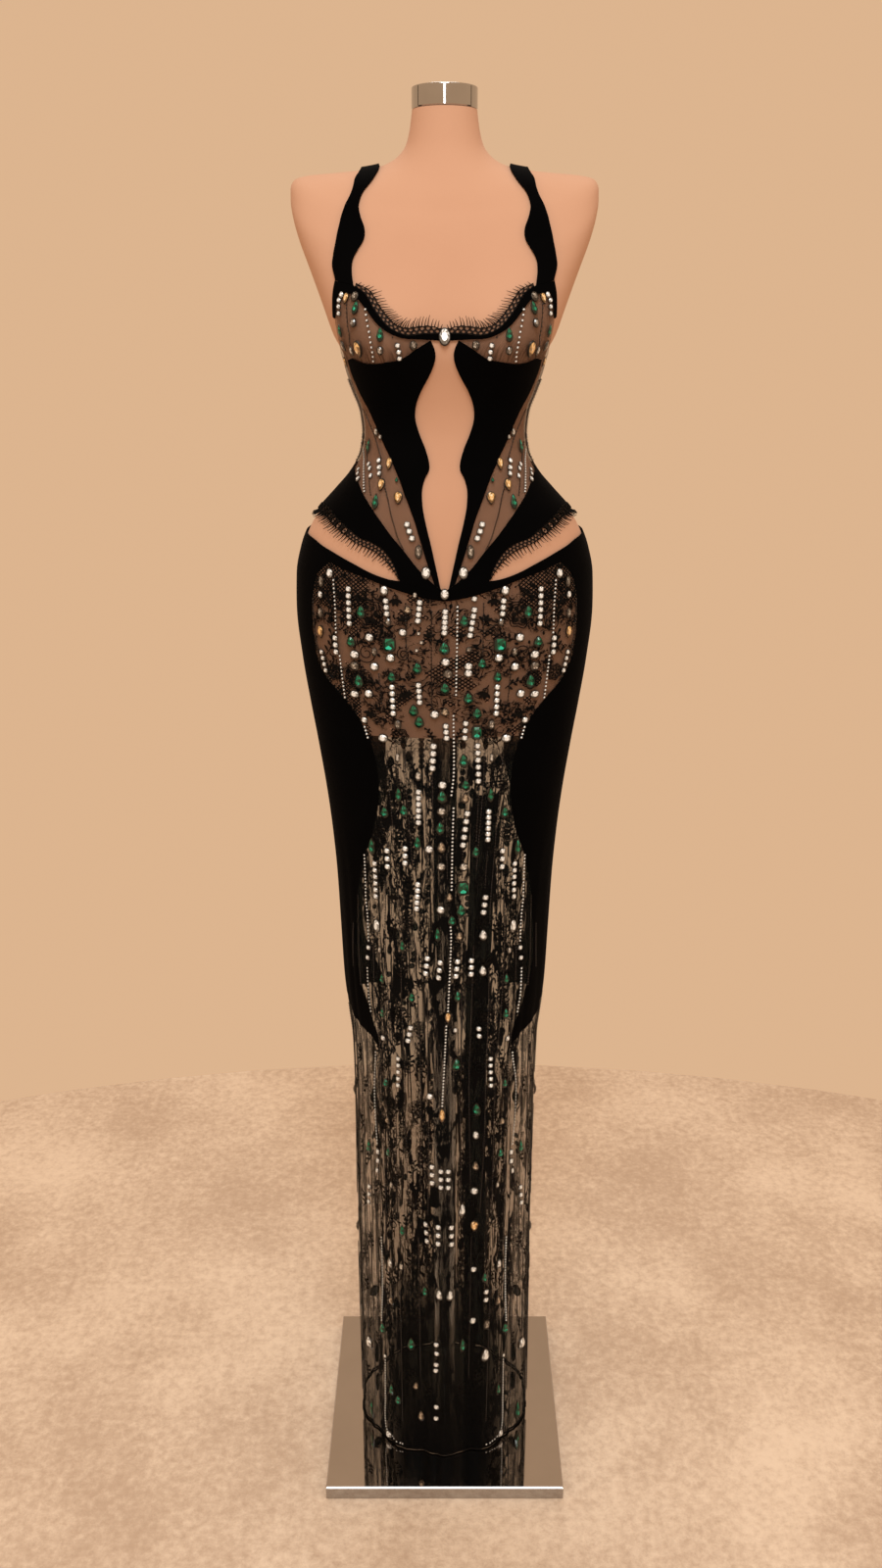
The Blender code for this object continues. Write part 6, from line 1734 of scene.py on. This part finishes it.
def build_trim(node, side, base, far, band_finish, cord_finish):
    """A lace strip with a scalloped edge, cords and fine lashes."""
    form = TRIMS[node]
    depth, lash = form["depth"], form["lash"]
    lengths = travelled(base)
    total = lengths[-1]
    tree = None if far is None else tree_of(flat(far))

    def at(distance):
        """Spots at distances along the base."""
        return spots_at(distance, lengths, base)

    def room(distance):
        """Share of its full size that the trim has at a distance."""
        size = TRIM_NARROW + np.minimum(distance, total - distance) / TRIM_FADE
        if tree:
            free = [tree.find((x, y, 0))[2] for x, y in flat(at(distance))]
            size = np.minimum(size, np.array(free) * TRIM_SHARE / (depth + lash))
        return np.clip(size, 0, 1)

    def out_from(distance, reach, slide=0.0):
        """Spots that lie a reach out from the base and slide along it."""
        run = unit(flat(at(np.clip(distance + TRIM_SMOOTH, 0, total)))
                   - flat(at(np.clip(distance - TRIM_SMOOTH, 0, total))))
        return moved(at(distance), run[:, 1] * reach + run[:, 0] * slide,
                     -run[:, 0] * reach + run[:, 1] * slide)

    def to_side(spots):
        """The spots on the trim's own side of the body."""
        return spots * (side, 1)

    stations = np.linspace(TRIM_END, total - TRIM_END, max(40, round(total / TRIM_STEP)))
    wave = np.abs(np.sin(math.pi * stations / SCALLOP))
    edge_reach = depth * room(stations) * (1 - SCALLOP_DEPTH + SCALLOP_DEPTH * wave)
    height, length, fade = RUFFLE
    ends = np.clip(1 - np.minimum(stations, total - stations) / fade, 0, 1)
    shares = np.linspace(0, 1, 6)
    spots = np.array([to_side(out_from(stations, edge_reach * share)) for share in shares])
    ruffle = (height * ends[None] * shares[:, None]
              * (1 + np.sin(2 * math.pi * stations / length)))
    first_ring = total - RING_END if node == "hip_lace" else 0.0
    sheet = np.stack((np.tile(stations - first_ring, (len(shares), 1)),
                      edge_reach[None] * shares[:, None]), -1)
    word = "right" if side > 0 else "left"
    strip = grid_wall(f"{node}_{word}_band", spots, TRIM_CLEAR, ruffle, sheet, band_finish)

    clear, thick = TRIM_CLEAR
    cords = Parts()
    add_tubes(cords, to_side(out_from(stations, edge_reach))[None], clear + thick + ruffle[-1],
              EDGE_CORD)
    add_tubes(cords, to_side(out_from(stations, edge_reach * FOOT_REACH))[None], clear + thick,
              FOOT_CORD)
    if node == "hip_lace":
        local = ring_path(RING_RADIUS, steps=17)
        for k in range(RING_COUNT):
            centre = out_from(np.array([first_ring - RING_PITCH * k]), np.array([RING_LEVEL]))
            spots = moved(np.repeat(centre, len(local), 0), local[:, 0], local[:, 1])
            add_tubes(cords, to_side(spots)[None], ON_VELVET, RING_CORD)
    many = round((total - 2 * TRIM_END) / form["pitch"])
    foot = TRIM_END + (np.arange(many) + 0.5) * (total - 2 * TRIM_END) / many
    size = room(foot)
    start = depth * size * (LASH_START + SCALLOP_DEPTH * np.abs(np.sin(math.pi * foot / SCALLOP)))
    share, step = LASH_WAVE
    length = lash * size * (1 - share + share * np.cos(step * np.arange(many)))
    length *= LASH_LENGTHS[0] + LASH_LENGTHS[1] * rng.random(many)
    lean = form["lean"] * size * (LASH_LEANS[0] + LASH_LEANS[1] * rng.random(many))
    steps = np.linspace(0, 1, 6)
    runs = np.array([to_side(out_from(foot, start + length * t, lean * t ** 1.5)) for t in steps])
    out = clear + thick * 0.5 + form["lift"] * size[:, None] * steps[None] ** 2
    add_tubes(cords, runs.transpose(1, 0, 2), out, form["thick"] * (1 - LASH_TAPER * steps)[None])
    fringe = seat(cords.make(f"{node}_{word}_cords", cord_finish), None)
    declare(strip, f"{node}_{word}")


def build_hem(finish):
    """The rolled, corded hem, just clear of the plate."""
    for name, first, last in (("hem_cord_front", -90.0, 90.0), ("hem_cord_back", 90.0, 270.0)):
        parts = Parts()
        spots = np.stack((np.linspace(first, last, HEM_STEPS),
                          np.full(HEM_STEPS, HEM_CORD_LEVEL)), 1)
        add_tubes(parts, spots[None], SHEER[0] + SHEER[1] / 2, HEM_CORD_RADIUS, 6)
        seat(parts.make(name, finish, CLOTH_SHARP), None)


def build_trims(cord_finish):
    """Eyelash lace above the cups and under the sweeps."""
    plain, ringed = band_lace("lace band", False), band_lace("ringed lace band", True)
    under = edge("cutout_top")
    under = under[under[:, 0] < HIP_TRIM_END]
    opposite = chain_of("cutout_bottom_front", "cutout_bottom_side", "cutout_bottom_back")
    for side in (1, -1):
        build_trim("cup_lace", side, edge("edging_top"), None, plain, cord_finish)
        build_trim("hip_lace", side, under, opposite, ringed, cord_finish)


def build_picots(finish):
    """A picot cord down each side seam of the bodice."""
    seam = edge("side_seam")
    run = spaced(seam[seam[:, 1] < PICOT_TOP], PICOT_STEP)
    wave = 0.5 + 0.5 * np.sin(math.pi * np.arange(len(run)) / 2)
    for side, word in SIDES:
        parts = Parts()
        spots = (run * (side, 1))[None]
        for out, radius in zip((ON_SHEER, (ON_SHEER + PICOT_DEPTH * wave)[None]), PICOT_RADII):
            add_tubes(parts, spots, out, radius)
        seat(parts.make("picot_" + word, finish, CLOTH_SHARP), None)


# Floor: a disc under the camera's view
FLOOR_RADIUS = 3.00
FLOOR_CENTRE = -2.07
FLOOR_DEPTH = 0.04
FLOOR_SIDES = 96
# Even surroundings that take the place of the pale wall
ROOM_COLOUR = (0.72, 0.46, 0.275, 1.0)
# Lights: name, place, aim, width, height, power, colour
LIGHTS = (
    ("key", (0.0, -1.7, 3.3), (0, -0.05, 1.2), 1.0, 1.0, 34.0, (0.93, 1.0, 1.0)),
    ("left", (-2.3, -0.9, 2.6), (0, 0, 1.0), 1.0, 1.0, 5.0, (1.0, 0.97, 0.92)),
    ("right", (2.3, -0.9, 2.6), (0, 0, 1.0), 1.0, 1.0, 5.0, (1.0, 0.97, 0.92)),
    ("back", (0.0, 1.5, 3.6), (0, 0, 1.3), 0.8, 0.8, 16.0, (0.93, 1.0, 1.0)),
    ("strip", (0.0, -1.9, 2.05), (0, 0, 1.70), 0.17, 0.60, 3.0, (1.0, 1.0, 1.0)),
    ("edge", (0.0, -1.9, 1.57), (0, -0.16, 0.02), 0.85, 0.14, 2.0, (1.0, 1.0, 1.0)),
)


def build_room():
    """Pale floor, warm even surroundings and soft lights."""
    turns = np.arange(FLOOR_SIDES) * 2 * math.pi / FLOOR_SIDES
    rim = np.column_stack((FLOOR_RADIUS * np.cos(turns), FLOOR_CENTRE + FLOOR_RADIUS * np.sin(turns),
                           np.zeros(FLOOR_SIDES)))
    points = np.vstack((rim, rim - (0, 0, FLOOR_DEPTH), [[0, FLOOR_CENTRE, 0.0]]))
    start = np.arange(FLOOR_SIDES)
    after = np.roll(start, -1)
    faces = np.vstack((np.stack((start, after, np.full(FLOOR_SIDES, 2 * FLOOR_SIDES)), 1),
                       np.stack((after, start, FLOOR_SIDES + start), 1),
                       np.stack((after, FLOOR_SIDES + start, FLOOR_SIDES + after), 1)))
    add_mesh("floor", points, faces, floor_stone(), sharp=BOX_SHARP)
    world = bpy.data.worlds.new("room")
    world.use_nodes = True
    ground = world.node_tree.nodes["Background"]
    ground.inputs["Color"].default_value = ROOM_COLOUR
    ground.inputs["Strength"].default_value = 1.0
    bpy.context.scene.world = world
    for name, place, aim, width, height, power, colour in LIGHTS:
        lamp = bpy.data.lights.new(name, "AREA")
        lamp.shape = "RECTANGLE"
        lamp.size = width
        lamp.size_y = height
        lamp.energy = power
        lamp.color = colour
        holder = bpy.data.objects.new(name, lamp)
        holder.location = place
        holder.rotation_euler = (Vector(aim) - Vector(place)).to_track_quat("-Z", "Y").to_euler()
        holder.visible_camera = False
        # The side lights would draw streaks on the neck cap
        holder.visible_glossy = name not in ("left", "right")
        bpy.context.scene.collection.objects.link(holder)


def build_camera():
    """The camera at the photo's viewing angle."""
    lens = bpy.data.cameras.new("camera")
    lens.sensor_width = SENSOR
    lens.lens = FOCAL_PIXELS * SENSOR / PHOTO_HEIGHT
    lens.shift_x = -AXIS_OFF_CENTRE / PHOTO_HEIGHT
    camera = bpy.data.objects.new("camera", lens)
    camera.location = (0.0, -CAMERA_BACK, CAMERA_HEIGHT)
    camera.rotation_euler = (math.pi / 2 - CAMERA_TILT, 0.0, 0.0)
    bpy.context.scene.collection.objects.link(camera)
    bpy.context.scene.camera = camera
    bpy.context.scene.view_settings.view_transform = "Standard"


build_camera()
build_room()
velvet_finish, lace_finish, settings = map(plain_finish, ("velvet", "lace", "settings"))
build_stand(plain_finish("chrome"), plain_finish("mirror steel"), settings)
build_form(plain_finish("jersey"))
build_straps(velvet_finish)
build_bodice(velvet_finish, sheer_mesh("sheer mesh", False), sheer_mesh("cup mesh", True))
build_skirt(velvet_finish, lace_mesh("lace mesh front", 0.0, 0.0),
            lace_mesh("lace mesh back", math.pi * FLAT_RADIUS, 0.085), lace_finish)
build_trims(lace_finish)
build_picots(lace_finish)
build_hem(lace_finish)
build_lace_figures(lace_finish)
build_stones({name: cut_glass(name) for name in STONE_TINTS_AND_PAINTED_SHINE}, settings,
             plain_finish("black beads"))
